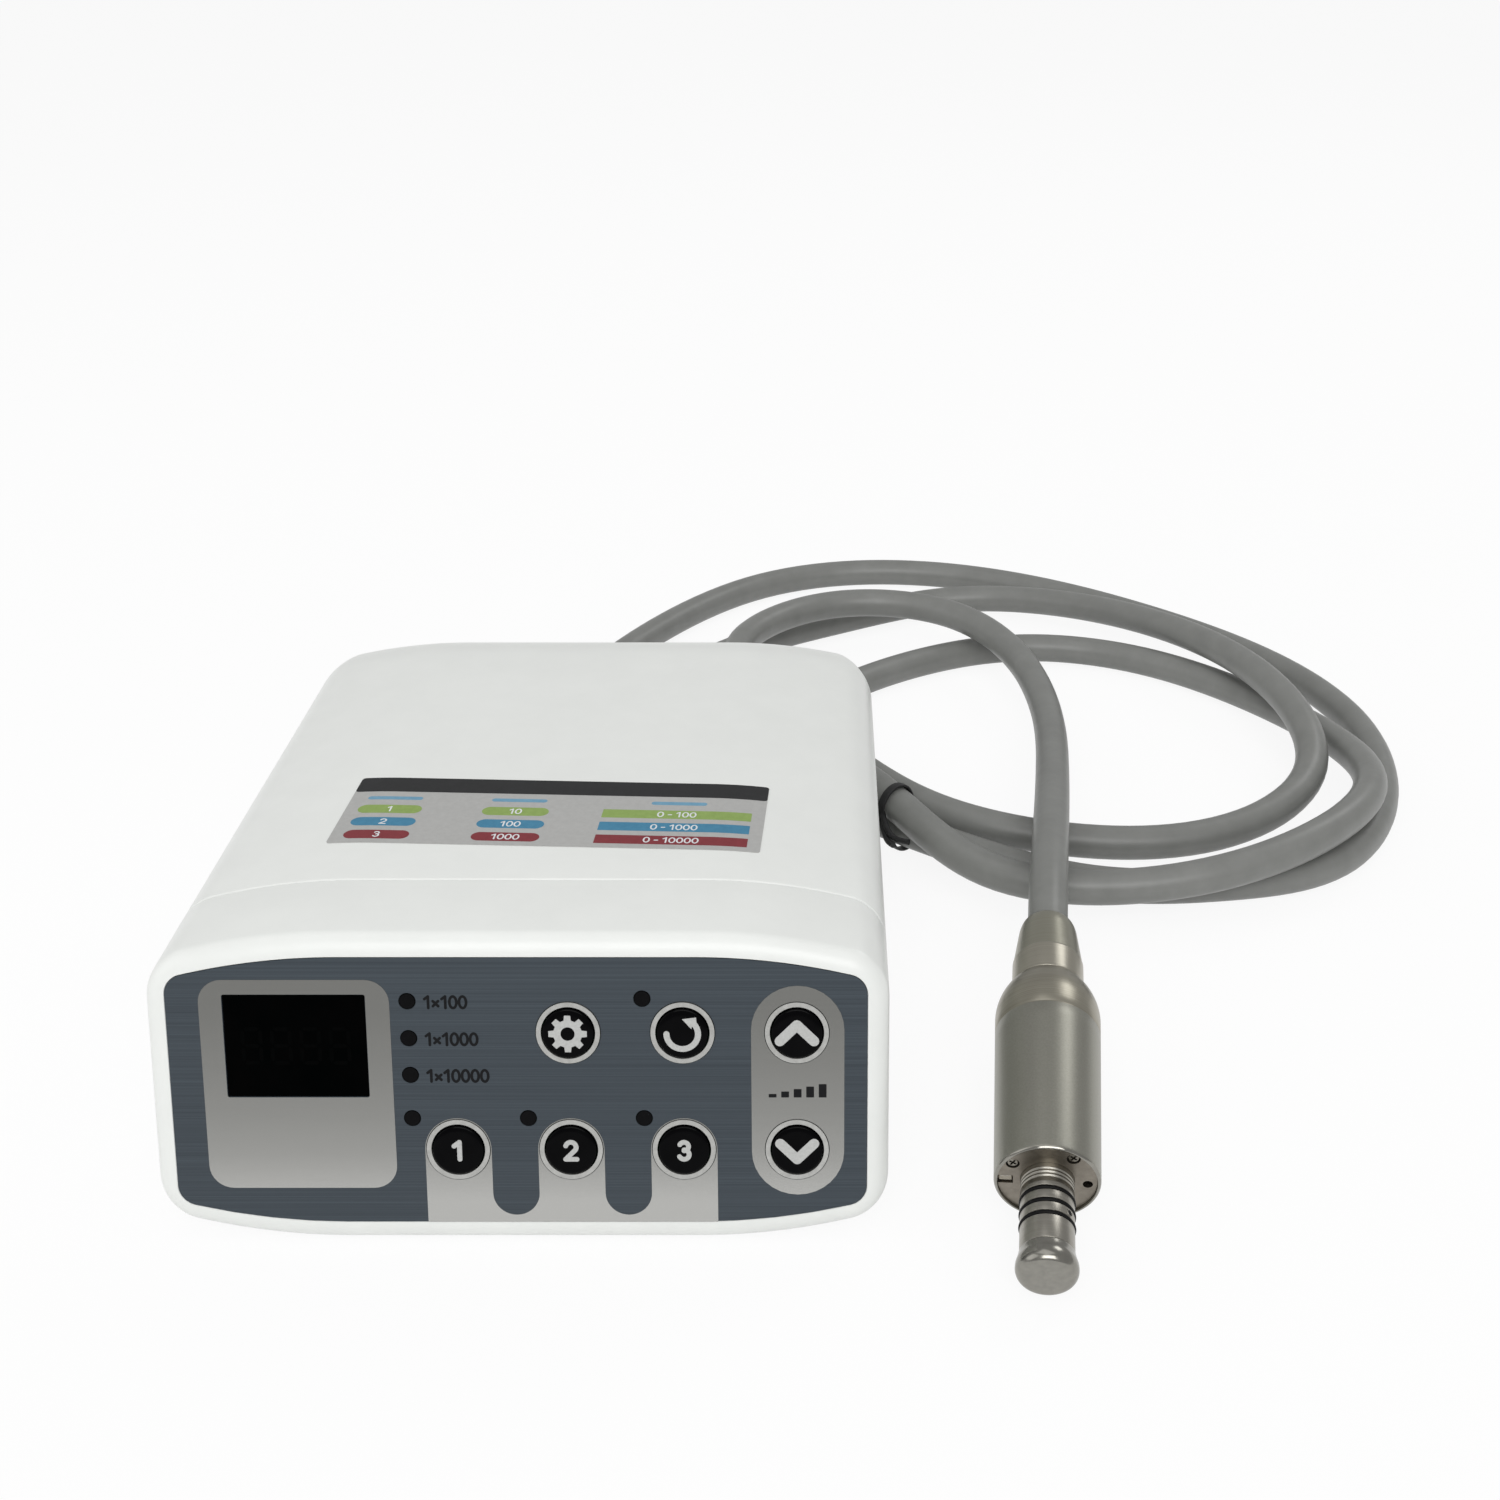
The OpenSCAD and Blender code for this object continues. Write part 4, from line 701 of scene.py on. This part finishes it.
def rod(points, width):
    """The outline of a line of that width through points, with round ends and bends."""
    r = width / 2

    def one_side(run):
        out = []
        ways = [(Vector(q) - Vector(p)).normalized() for p, q in zip(run, run[1:])]
        for i, p in enumerate(run):
            before, after = ways[max(i - 1, 0)], ways[min(i, len(ways) - 1)]
            normals = [math.degrees(math.atan2(w.x, -w.y)) for w in (before, after)]
            turn = -180.0 if i == len(run) - 1 else (normals[1] - normals[0] + 180) % 360 - 180
            if turn <= 0:
                out += arc_points(*p, r, normals[0], normals[0] + turn, ROD_STEPS if turn < ROD_BEND else 1)
            else:
                middle = normals[0] + turn / 2
                out += arc_points(*p, r / math.cos(math.radians(turn / 2)), middle, middle, 1)[:1]
        return out

    return one_side(points) + one_side(points[::-1])


ARROW_R, ARROW_W, ARROW_END = 3.0, 1.15, 400
ARROW_HEAD = [(2.65, 3.3), (0.0, 2.95), (1.75, 0.95)]
arrow = (arc_points(0, 0, ARROW_R + ARROW_W / 2, 180, ARROW_END, 48) + ARROW_HEAD
         + arc_points(0, 0, ARROW_R - ARROW_W / 2, ARROW_END, 180, 48)
         + arc_points(-ARROW_R, 0, ARROW_W / 2, 0, 180, 10)[1:-1])
CHEVRON, CHEVRON_W = [(-3.25, -1.45), (0.0, 1.75), (3.25, -1.45)], 2.0
# Numerals as strokes of a height of 1: how far the next one starts, and the lines of this one
STROKES = {
    "0": (0.8, ()),
    "1": (0.66, ([(-0.2, 0.27), (0.1, 0.5), (0.1, -0.5)],)),
    "2": (0.8, (arc_points(0, 0.21, 0.29, 165, -35, 14) + [(-0.3, -0.5), (0.32, -0.5)],)),
    "3": (0.8, (arc_points(0, 0.25, 0.25, 155, -90, 14), arc_points(0, -0.22, 0.28, 90, -155, 16))),
    "x": (0.76, ([(-0.22, -0.34), (0.22, 0.1)], [(-0.22, 0.1), (0.22, -0.34)])),
    "-": (0.6, ([(-0.16, -0.05), (0.16, -0.05)],)),
    " ": (0.3, ()),
}
ZERO_HALF_W, ZERO_HALF_H = 0.29, 0.5


def numerals(text, height, weight, start=None):
    """The strokes of a short number as groups of outlines, centred or from a left edge on."""
    pen = -sum(STROKES[c][0] for c in text) / 2 if start is None else start / height
    groups = []
    for c in text:
        step, lines = STROKES[c]
        middle = pen + step / 2
        if c == "0":
            groups.append([[((middle + (ZERO_HALF_W + side) * x) * height, (ZERO_HALF_H + side) * y * height)
                            for x, y in disc(0, 0, 1, 40)] for side in (weight / 2, -weight / 2)])
        for line in lines:
            groups.append([rod([((middle + x) * height, y * height) for x, y in line], weight * height)])
        pen += step
    return groups


KEY_NUMBER_H, KEY_NUMBER_WEIGHT = 3.5, 0.27
COG_TEETH, COG_R, COG_ROOT_R, COG_HOLE_R = 8, 3.7, 2.75, 1.35
LEGENDS = {
    "gear": [[cog(COG_TEETH, COG_R, COG_ROOT_R), disc(0, 0, COG_HOLE_R, 32)]],
    "reverse": [[arrow]],
    "speed_up": [[rod(CHEVRON, CHEVRON_W)]],
    "speed_down": [[rod([(u, -v) for u, v in CHEVRON], CHEVRON_W)]],
    **{"memory_" + d: numerals(d, KEY_NUMBER_H, KEY_NUMBER_WEIGHT) for d in "123"},
}
LEGEND_SUNK, LEGEND_T, MARK_T, KEY_N = 0.04, 0.06, 0.03, 72
# Profiles are points of (radius, place along the axis, bend of that corner)
KEY_PROFILE = rounded([(0, KEY_PROUD, 0), (4.0, KEY_PROUD - 0.06, 0.8), (KEY_R, KEY_PROUD - 0.22, 0.35),
                       (KEY_R, -2.4, 0), (4.2, -2.6, 0)], 6)
for key, place in KEYS.items():
    u, v = key_at(*place)
    body = "button_" + key
    spot = PANEL @ Matrix.Translation((u, v, 0))
    lathe("key_" + key, KEY_PROFILE, spot, black_gloss, body, (body,), KEY_N)
    flat("legend_" + key, legend_silver, *LEGENDS[key], at=(u, v), lift=KEY_PROUD - LEGEND_SUNK,
         thick=LEGEND_T, body=body, slot="rim_silver")

# Generic marks on the overlay: steps beside the lenses, and bars that grow between the two speed keys
STEP_U, STEP_V, STEP_H, STEP_WEIGHT = -17.7, (18.3, 10.9, 3.5), 2.3, 0.23
for v, text in zip(STEP_V, ("1x100", "1x1000", "1x10000")):
    flat("step_" + text[2:], legend_navy, *numerals(text, STEP_H, STEP_WEIGHT, 0), at=(STEP_U, v),
         thick=MARK_T, slot="overlay_slate")
BARS, BARS_U, BARS_V, BAR_PITCH, BAR_HALF_W, BAR_R = 5, 53.4, 0.45, 2.4, 0.75, 0.1
BAR_BOTTOM, BAR_LEAST, BAR_GROWS, BAR_LIFT = -1.3, 0.7, 0.5, 0.06
for i in range(BARS):
    bar = box(-BAR_HALF_W, BAR_BOTTOM, BAR_HALF_W, BAR_BOTTOM + (BAR_LEAST + BAR_GROWS * i), BAR_R)
    flat("speed_bar_%d" % (i + 1), legend_navy, [bar], at=(BARS_U + (i - BARS // 2) * BAR_PITCH, BARS_V),
         lift=BAR_LIFT, thick=MARK_T, slot="overlay_slate")

# Unlit digits behind the display glass
SEGMENT_L, SEGMENT_W, SEGMENT_GAP, SEGMENT_SUNK, SEGMENT_T = 3.4, 0.75, 0.25, 0.145, 0.02
DIGITS, DIGITS_U, DIGITS_V, DIGIT_PITCH = 4, -42.3, 9.5, 5.6
# Where each segment lies, in segment lengths, and whether it stands upright
SEGMENTS = ((0, 1, False), (0.5, 0.5, True), (0.5, -0.5, True), (0, -1, False), (-0.5, -0.5, True),
            (-0.5, 0.5, True), (0, 0, False))
reach, w = SEGMENT_L / 2 - SEGMENT_GAP, SEGMENT_W / 2
lying = [(-reach, 0), (-reach + w, w), (reach - w, w), (reach, 0), (reach - w, -w), (-reach + w, -w)]
standing = [(-b, a) for a, b in lying]
segments = [[(a + du * SEGMENT_L, b + dv * SEGMENT_L) for a, b in (standing if upright else lying)]
            for du, dv, upright in SEGMENTS]
for i in range(DIGITS):
    flat("digit_%d" % (i + 1), segment_grey, segments,
         at=(DIGITS_U + (i - (DIGITS - 1) / 2) * DIGIT_PITCH, DIGITS_V), lift=-SEGMENT_SUNK,
         thick=SEGMENT_T, slot="black_gloss")


# Label on the cover
LABEL_W, LABEL_D, LABEL_TURN = 90.0, 29.0, math.radians(-2.5)
LABEL_MID = Vector((1.0, 51.0 + LABEL_D / 2))
LABEL_LIFT, LABEL_R, LABEL_COLUMNS, PATCH_COLUMNS = 0.15, 0.8, 90, 48
INK_LIFT, INK_T, NUMBER_LIFT, NUMBER_T, NUMBER_H, NUMBER_WEIGHT = 0.17, 0.03, 0.18, 0.02, 2.0, 0.17


def top_point(a, b, lift):
    """A point of the label: a across and b back from its middle, on the cover's bowed top."""
    x = LABEL_MID.x + a * math.cos(LABEL_TURN) - b * math.sin(LABEL_TURN)
    y = LABEL_MID.y + a * math.sin(LABEL_TURN) + b * math.cos(LABEL_TURN)
    z = 2 * HALF_H - fall(x)
    return CONSOLE_AT + Vector((x, y, z + lift))


def patch(name, shader, a0, a1, b0, b1, r, lift=INK_LIFT, thick=INK_T, columns=PATCH_COLUMNS, nodes=()):
    """A thin patch on the cover's top with round ends of radius r."""
    spots = [a0 + (a1 - a0) * (1 - math.cos(math.pi * k / columns)) / 2 for k in range(columns + 1)]
    points = []
    for h in (lift - thick, lift):
        for a in spots:
            end = min(a - a0, a1 - a)
            cut = r - math.sqrt(max(0.0, r * r - (r - end) ** 2)) if end < r else 0.0
            points += [top_point(a, b0 + cut, h), top_point(a, b1 - cut, h)]
    n = 2 * (columns + 1)
    faces = []
    for k in range(columns):
        i = 2 * k
        faces += [(n + i, n + i + 2, n + i + 3, n + i + 1), (i, i + 1, i + 3, i + 2),
                  (i, i + 2, n + i + 2, n + i), (i + 1, n + i + 1, n + i + 3, i + 3)]
    faces += [(0, n, n + 1, 1), (n - 2, n - 1, 2 * n - 1, 2 * n - 2)]
    piece(name, mesh_of(name, points, faces), shader, nodes=nodes)


def label_text(name, text, a, b):
    """A short number on the label, centred at a and b."""
    mesh = outline_mesh(name, numerals(text, NUMBER_H, NUMBER_WEIGHT), NUMBER_T)
    for v in mesh.vertices:
        v.co = top_point(a + v.co.x / MM, b + v.co.y / MM, NUMBER_LIFT + v.co.z / MM) * MM
    piece(name, mesh, legend_white)


HEADER_B, HEADING_HALF_W, HEADING_B0, HEADING_B1, HEADING_R = 8.0, 6, 4.3, 5.7, 0.7
patch("label_field", label_silver, -LABEL_W / 2, LABEL_W / 2, -LABEL_D / 2, LABEL_D / 2, LABEL_R, LABEL_LIFT,
      LABEL_LIFT, LABEL_COLUMNS, ("top_label",))
patch("label_header", label_black, -LABEL_W / 2, LABEL_W / 2, HEADER_B, LABEL_D / 2, LABEL_R,
      columns=LABEL_COLUMNS)
ROWS = ((0.04, label_green, "green"), (-5.5, label_blue, "blue"), (-11.05, label_red, "red"))
COLUMNS = ((-42.2, -28.4, "first", ("1", "2", "3")), (-15.4, -1.1, "second", ("10", "100", "1000")),
           (10.4, 42.2, "third", ("0 - 100", "0 - 1000", "0 - 10000")))
PILL_HALF_H, BOX_R = 1.8, 0.1
for a0, a1, column, texts in COLUMNS:
    mid = (a0 + a1) / 2
    patch("label_heading_" + column, label_sky, mid - HEADING_HALF_W, mid + HEADING_HALF_W, HEADING_B0,
          HEADING_B1, HEADING_R)
    for (b, shader, row), text in zip(ROWS, texts):
        patch("label_%s_%s" % (column, row), shader, a0, a1, b - PILL_HALF_H, b + PILL_HALF_H,
              PILL_HALF_H if column != "third" else BOX_R)
        label_text("number_%s_%s" % (column, row), text, mid, b)


# Handpiece: radii and places along its axis
FRONT_LIP = [(9.82, 4.0, 0), (9.82, 0.05, 0.08), (10.1, 0.0, 0.12), (10.5, 0.4, 0.3), (10.52, 1.2, 0)]
LIP_END = 0.45
# The sleeve grows to the shoulder, and a fine groove parts the satin length from the turned one
SLEEVE_R, SLEEVE_GROWS, SHOULDER_Z, SHOULDER_R, SHOULDER_STEPS = 10.5, 0.8, 44, 11.3, 20
SHOULDER_LINE, LINE_HALF_W, LINE_EDGE, LINE_DEPTH = 39.6, 0.1, 0.2, 0.04
SLEEVE_SECTIONS = [(z, 0) for z in (6, 12, 18, 24, 30, 36, SHOULDER_LINE - LINE_EDGE)]
SLEEVE_SECTIONS += [(SHOULDER_LINE - LINE_HALF_W, LINE_DEPTH), (SHOULDER_LINE + LINE_HALF_W, LINE_DEPTH),
                    (SHOULDER_LINE + LINE_EDGE, 0), (42, 0)]
SLEEVE_END_R, SLEEVE_INSIDE_R = 7.9, 7.0
sleeve = rounded(FRONT_LIP, 4)
sleeve += [Vector((SLEEVE_R + SLEEVE_GROWS * z / SHOULDER_Z - sunk, z)) for z, sunk in SLEEVE_SECTIONS]
for k in range(SHOULDER_STEPS):
    t = k / SHOULDER_STEPS
    sleeve.append(Vector((SHOULDER_R - (SHOULDER_R - SLEEVE_END_R) * t ** 2,
                          SHOULDER_Z + (FERRULE_START - SHOULDER_Z) * t)))
sleeve += [Vector((SLEEVE_END_R, FERRULE_START)), Vector((SLEEVE_INSIDE_R, FERRULE_START))]


def sleeve_index(z, r):
    """Turned behind the groove, bright at the front lip and satin between."""
    return 1 if z > SHOULDER_LINE - (LINE_HALF_W + LINE_EDGE) / 2 else 2 if z < LIP_END else 0


lathe("sleeve_shell", sleeve, HANDPIECE, [satin_steel, turned_steel, bright_steel], nodes=("motor_sleeve",),
      index=sleeve_index)

COLLAR_R, COLLAR_END, FERRULE_GAP = 7.85, 61.4, 0.05
ferrule = rounded([(6.5, FERRULE_START + FERRULE_GAP, 0), (COLLAR_R, FERRULE_START + FERRULE_GAP, 0.25),
                   (COLLAR_R, COLLAR_END, 0.25), (7.7, 61.7, 0.15), (6.5, 72, 1.2), (6.0, 73.8, 0.8),
                   (5.45, 74.7, 0.4), (4.75, FERRULE_END, 0)], 6)
# The collar takes the lighter steel, a painted highlight, and the cone behind it the darker
ferrule_piece = lathe("ferrule_shell", ferrule, HANDPIECE, [ferrule_steel_painted_highlight, dark_steel],
                      nodes=("hose_ferrule",),
                      index=lambda z, r: 0 if z < COLLAR_END + 0.1 else 1)

# The nose: three fine grooves, a low bead, the O-rings' grooves and the step that the cap sits on
FINE_START, FINE_PITCH, FINE_W, FINE_DEPTH = -0.35, 0.9, 0.5, 0.3
GROOVE_MOUTH, GROOVE_FLOOR, GROOVE_DEPTH = 0.52, 0.58, 0.8
NOSE_END, NOSE_STEP, NOSE_BORE_R = -21, 0.2, 3.2
nose = [(6.4, 4.7, 0), (NOSE_R, 4.7, 0), (NOSE_R, 0.6, 0.05)]
for i in range(3):
    z = FINE_START - FINE_PITCH * i
    nose += [(NOSE_R, z, 0.12), (NOSE_R - FINE_DEPTH, z - FINE_W / 2, 0.12), (NOSE_R, z - FINE_W, 0.12)]
nose += [(NOSE_R, -3.2, 0.1), (NOSE_R + 0.06, -3.6, 0.2)]
for z in RINGS_Z:
    nose += [(NOSE_R, GROOVE_MOUTH - z, 0.04), (NOSE_R - GROOVE_DEPTH, GROOVE_FLOOR - z, 0.05),
             (NOSE_R - GROOVE_DEPTH, -GROOVE_FLOOR - z, 0.05), (NOSE_R, -GROOVE_MOUTH - z, 0.04)]
nose += [(NOSE_R, -17.0, 0.1), (NOSE_R - NOSE_STEP, -17.1, 0.05), (NOSE_R - NOSE_STEP, NOSE_END, 0.1),
         (NOSE_BORE_R, NOSE_END, 0.05), (NOSE_BORE_R, -15, 0)]
lathe("nose_shell", rounded(nose, 4), HANDPIECE, nose_steel, nodes=("nose_tube",))
CAP_PROFILE = [(5.15, -18.5, 0), (5.15, -17.15, 0.08), (5.38, -17.15, 0.15), (5.6, -18.4, 0.6),
               (6.05, -19.8, 0.9), (6.02, -21.4, 0.8), (5.1, -22.6, 0.9), (0, -22.7, 0)]
lathe("cap_shell", rounded(CAP_PROFILE, 8), HANDPIECE, cap_steel, "nose_cap", ("nose_cap",))

# O-rings in their grooves
RING_R, RING_PROUD, RING_N = 0.46, 0.22, 20
cord_outline = disc(0, 0, RING_R, RING_N) + [(RING_R, 0)]
rings = [spin([(NOSE_R + RING_PROUD - RING_R + u, v - z) for u, v in cord_outline]) for z in RINGS_Z]
ring_set = piece("ring_set", joined("ring_set", rings), ring_rubber_and_port_shade, nodes=("nose_o_rings",))
put(ring_set, HANDPIECE, ROOT)

# The port in the side of the nose: a dark mouth within a small rim, the mouth a flat disc of painted shade in
# place of the hole
PORT_R, PORT_Z, PORT_ANGLE, SMALL_N = 0.6, 9.7, -40, 32
port = rounded([(0, 0.05, 0), (PORT_R, 0.05, 0), (PORT_R + 0.04, 0.12, 0.05), (PORT_R + 0.18, 0.1, 0.05),
                (PORT_R + 0.22, -0.1, 0)], 3)


def outward(angle, r, z):
    """A place on the handpiece whose axis points away from the handpiece's own."""
    return (HANDPIECE @ Matrix.Rotation(math.radians(angle), 4, "Z") @ Matrix.Translation((r, 0, z))
            @ Matrix.Rotation(math.pi / 2, 4, "Y"))


lathe("nose_port", port, outward(PORT_ANGLE, NOSE_R, -PORT_Z), [nose_steel, ring_rubber_and_port_shade],
      segments=SMALL_N, index=lambda z, r: 1 if r < PORT_R else 0)

# Cross-slotted screws, deep in the front plate
PLATE_SCREWS, PLATE_FEATURE_R = (212, 305, 90), 8.2
SCREW_R, SCREW_TOP, SCREW_END, SCREW_N = 1.05, 0.95, 2.6, 72
SLOT_HALF_W, SLOT_HALF_L, SLOT_DEPTH = 0.16, 0.75, 0.5
SCREW_EDGE = [(0.88, SCREW_TOP, 0), (SCREW_R, SCREW_TOP, 0.12), (SCREW_R, SCREW_END, 0)]
screw = [(r / 20, SCREW_TOP) for r in range(18)] + [tuple(p) for p in rounded(SCREW_EDGE, 4)]


def slotted(x, y, z):
    """A point of the screw, lowered where it lies in the cross slot."""
    near, far = sorted((abs(x), abs(y)))
    return Vector((x, y, z + SLOT_DEPTH if near < SLOT_HALF_W and far < SLOT_HALF_L else z))


screws = []
for angle in PLATE_SCREWS:
    points, faces = spin(screw, SCREW_N)
    spot = Matrix.Rotation(math.radians(angle), 4, "Z") @ Matrix.Translation((PLATE_FEATURE_R, 0, 0))
    screws.append(([spot @ slotted(*point) for point in points], faces))
screw_set = piece("screw_set", joined("screw_set", screws), plate_screw_steel, nodes=("plate_screws",))
put(screw_set, HANDPIECE, ROOT)

# The lamp: a short glass rod at the bottom of its slot
LAMP_ANGLE, LAMP_FROM, LAMP_L, LAMP_R, LAMP_Z = 178, 6.9, 2.6, 0.75, 1.5
rod_profile = rounded([(0, 0, 0), (LAMP_R, 0, 0.3), (LAMP_R, LAMP_L, 0.3), (0, LAMP_L, 0)], 5)
lathe("lamp_rod", rod_profile, outward(LAMP_ANGLE, LAMP_FROM, LAMP_Z), lamp, nodes=("lamp_lens",),
      segments=SMALL_N)


# Tie round the strands
TIE_AT, TIE_TURN = Vector((57, 78, 0)), math.radians(45)
STRANDS = ((-4, 15.4), (0.3, 6.4))
TIE_GROW, TIE_HALF_W, TIE_HALF_T, TIE_END_R, TIE_END_STEPS, TIE_END_ROUND = 1.15, 1.15, 0.4, 0.8, 6, 4
STRAND_N, TIE_N, TIE_SQUARE = 64, 12, 0.6


def hull(points):
    """Convex outline of points, anticlockwise."""
    points = sorted(set(points))

    def half(run):
        out = []
        for p in run:
            while len(out) > 1 and ((out[-1][0] - out[-2][0]) * (p[1] - out[-2][1])
                                    - (out[-1][1] - out[-2][1]) * (p[0] - out[-2][0])) <= 0:
                out.pop()
            out.append(p)
        return out[:-1]

    return half(points) + half(points[::-1])


def tie_outline(grow):
    """The line round both strands, so far outside them."""
    r = HOSE_D / 2 + grow
    angles = [2 * math.pi * k / STRAND_N for k in range(STRAND_N)]
    return hull([(x + r * math.cos(a), y + r * math.sin(a)) for x, y in STRANDS for a in angles])


def squared(x):
    """Makes a circle's cosines and sines those of a rounded square."""
    return math.copysign(abs(x) ** TIE_SQUARE, x)


TIE_PLACE = (Matrix.Translation(TIE_AT) @ Matrix.Rotation(TIE_TURN, 4, "Z")
             @ Matrix.Rotation(math.pi / 2, 4, "X"))
points, n = [], len(tie_outline(TIE_GROW))
for k in range(TIE_N):
    a = 2 * math.pi * k / TIE_N
    along, out = TIE_HALF_W * squared(math.cos(a)), TIE_HALF_T * squared(math.sin(a))
    points += [TIE_PLACE @ Vector((x, y, along)) for x, y in tie_outline(TIE_GROW + out)[:n]]
faces = [(k * n + i, k * n + (i + 1) % n, (k + 1) % TIE_N * n + (i + 1) % n, (k + 1) % TIE_N * n + i)
         for k in range(TIE_N) for i in range(n)]
tie = piece("tie_band", mesh_of("tie_band", points, faces), rubber, nodes=("hose_tie",))
TIE_ENDS = {"tie_end_long": ((50.6, 71.6, 15), (51.4, 65, 14), (53, 59, 13.8), (57, 56.5, 14.4)),
            "tie_end_short": ((50.4, 71.4, 13), (50.9, 65, 12.6), (51.6, 60, 12.6), (53, 57.5, 13))}
ends = [tube(name, bspline([Vector(p) for p in points], TIE_END_STEPS), TIE_END_R, rubber, TIE_END_ROUND) for name, points in TIE_ENDS.items()]


# Stage and light
FLOOR_HALF, FLOOR_GREY, FLOOR_SHARE, WORLD_LIGHT = 12, 0.9, 0.9, 0.47
# Each lamp's place, size and power
LIT_POINT = (0.05, 0.05, 0.02)
LAMPS = {
    "front": ((0.05, -1.7, 1.5), (1.6, 1.1), 23),
    "overhead": ((-0.1, -0.1, 1.3), (1.2, 0.9), 2.5),
    "left": ((-1.1, -0.4, 0.7), (0.9, 0.9), 2.2),
    "back_right": ((0.95, 1.0, 1.1), (0.5, 0.5), 2.5),
}


def floor_material():
    """White to the camera and in reflections, with a share that still takes the object's shadow."""
    material = bpy.data.materials.new("floor_white")
    material.use_nodes = True
    nodes, links = material.node_tree.nodes, material.node_tree.links
    nodes.remove(nodes["Principled BSDF"])
    path = nodes.new("ShaderNodeLightPath")
    seen = path.outputs["Is Camera Ray"]
    for ray in ("Is Glossy Ray", "Is Transmission Ray"):
        either = nodes.new("ShaderNodeMath")
        either.operation = "MAXIMUM"
        links.new(seen, either.inputs[0])
        links.new(path.outputs[ray], either.inputs[1])
        seen = either.outputs[0]
    share = nodes.new("ShaderNodeMath")
    share.operation = "MULTIPLY"
    share.inputs[1].default_value = FLOOR_SHARE
    lit = nodes.new("ShaderNodeBsdfDiffuse")
    lit.inputs["Color"].default_value = (FLOOR_GREY, FLOOR_GREY, FLOOR_GREY, 1)
    glow = nodes.new("ShaderNodeEmission")
    glow.inputs["Strength"].default_value = 1.0
    mix = nodes.new("ShaderNodeMixShader")
    links.new(seen, share.inputs[0])
    links.new(share.outputs[0], mix.inputs["Fac"])
    links.new(lit.outputs[0], mix.inputs[1])
    links.new(glow.outputs[0], mix.inputs[2])
    links.new(mix.outputs[0], nodes["Material Output"].inputs["Surface"])
    return material


floor_mesh = bpy.data.meshes.new("floor")
corners = [(FLOOR_HALF * x, FLOOR_HALF * y, 0) for x, y in ((-1, -1), (1, -1), (1, 1), (-1, 1))]
floor_mesh.from_pydata(corners, [], [(0, 1, 2, 3)])
floor_mesh.materials.append(floor_material())
floor = bpy.data.objects.new("floor", floor_mesh)
scene.collection.objects.link(floor)

world = bpy.data.worlds.new("studio")
world.use_nodes = True
sky = world.node_tree.nodes["Background"].inputs
sky["Color"].default_value = (1, 1, 1, 1)
sky["Strength"].default_value = WORLD_LIGHT
scene.world = world

for name, (at, size, power) in LAMPS.items():
    data = bpy.data.lights.new(name, "AREA")
    data.shape = "RECTANGLE"
    data.size, data.size_y = size
    data.energy = power
    obj = bpy.data.objects.new(name, data)
    obj.location = at
    obj.rotation_euler = (Vector(LIT_POINT) - Vector(at)).to_track_quat("-Z", "Y").to_euler()
    scene.collection.objects.link(obj)
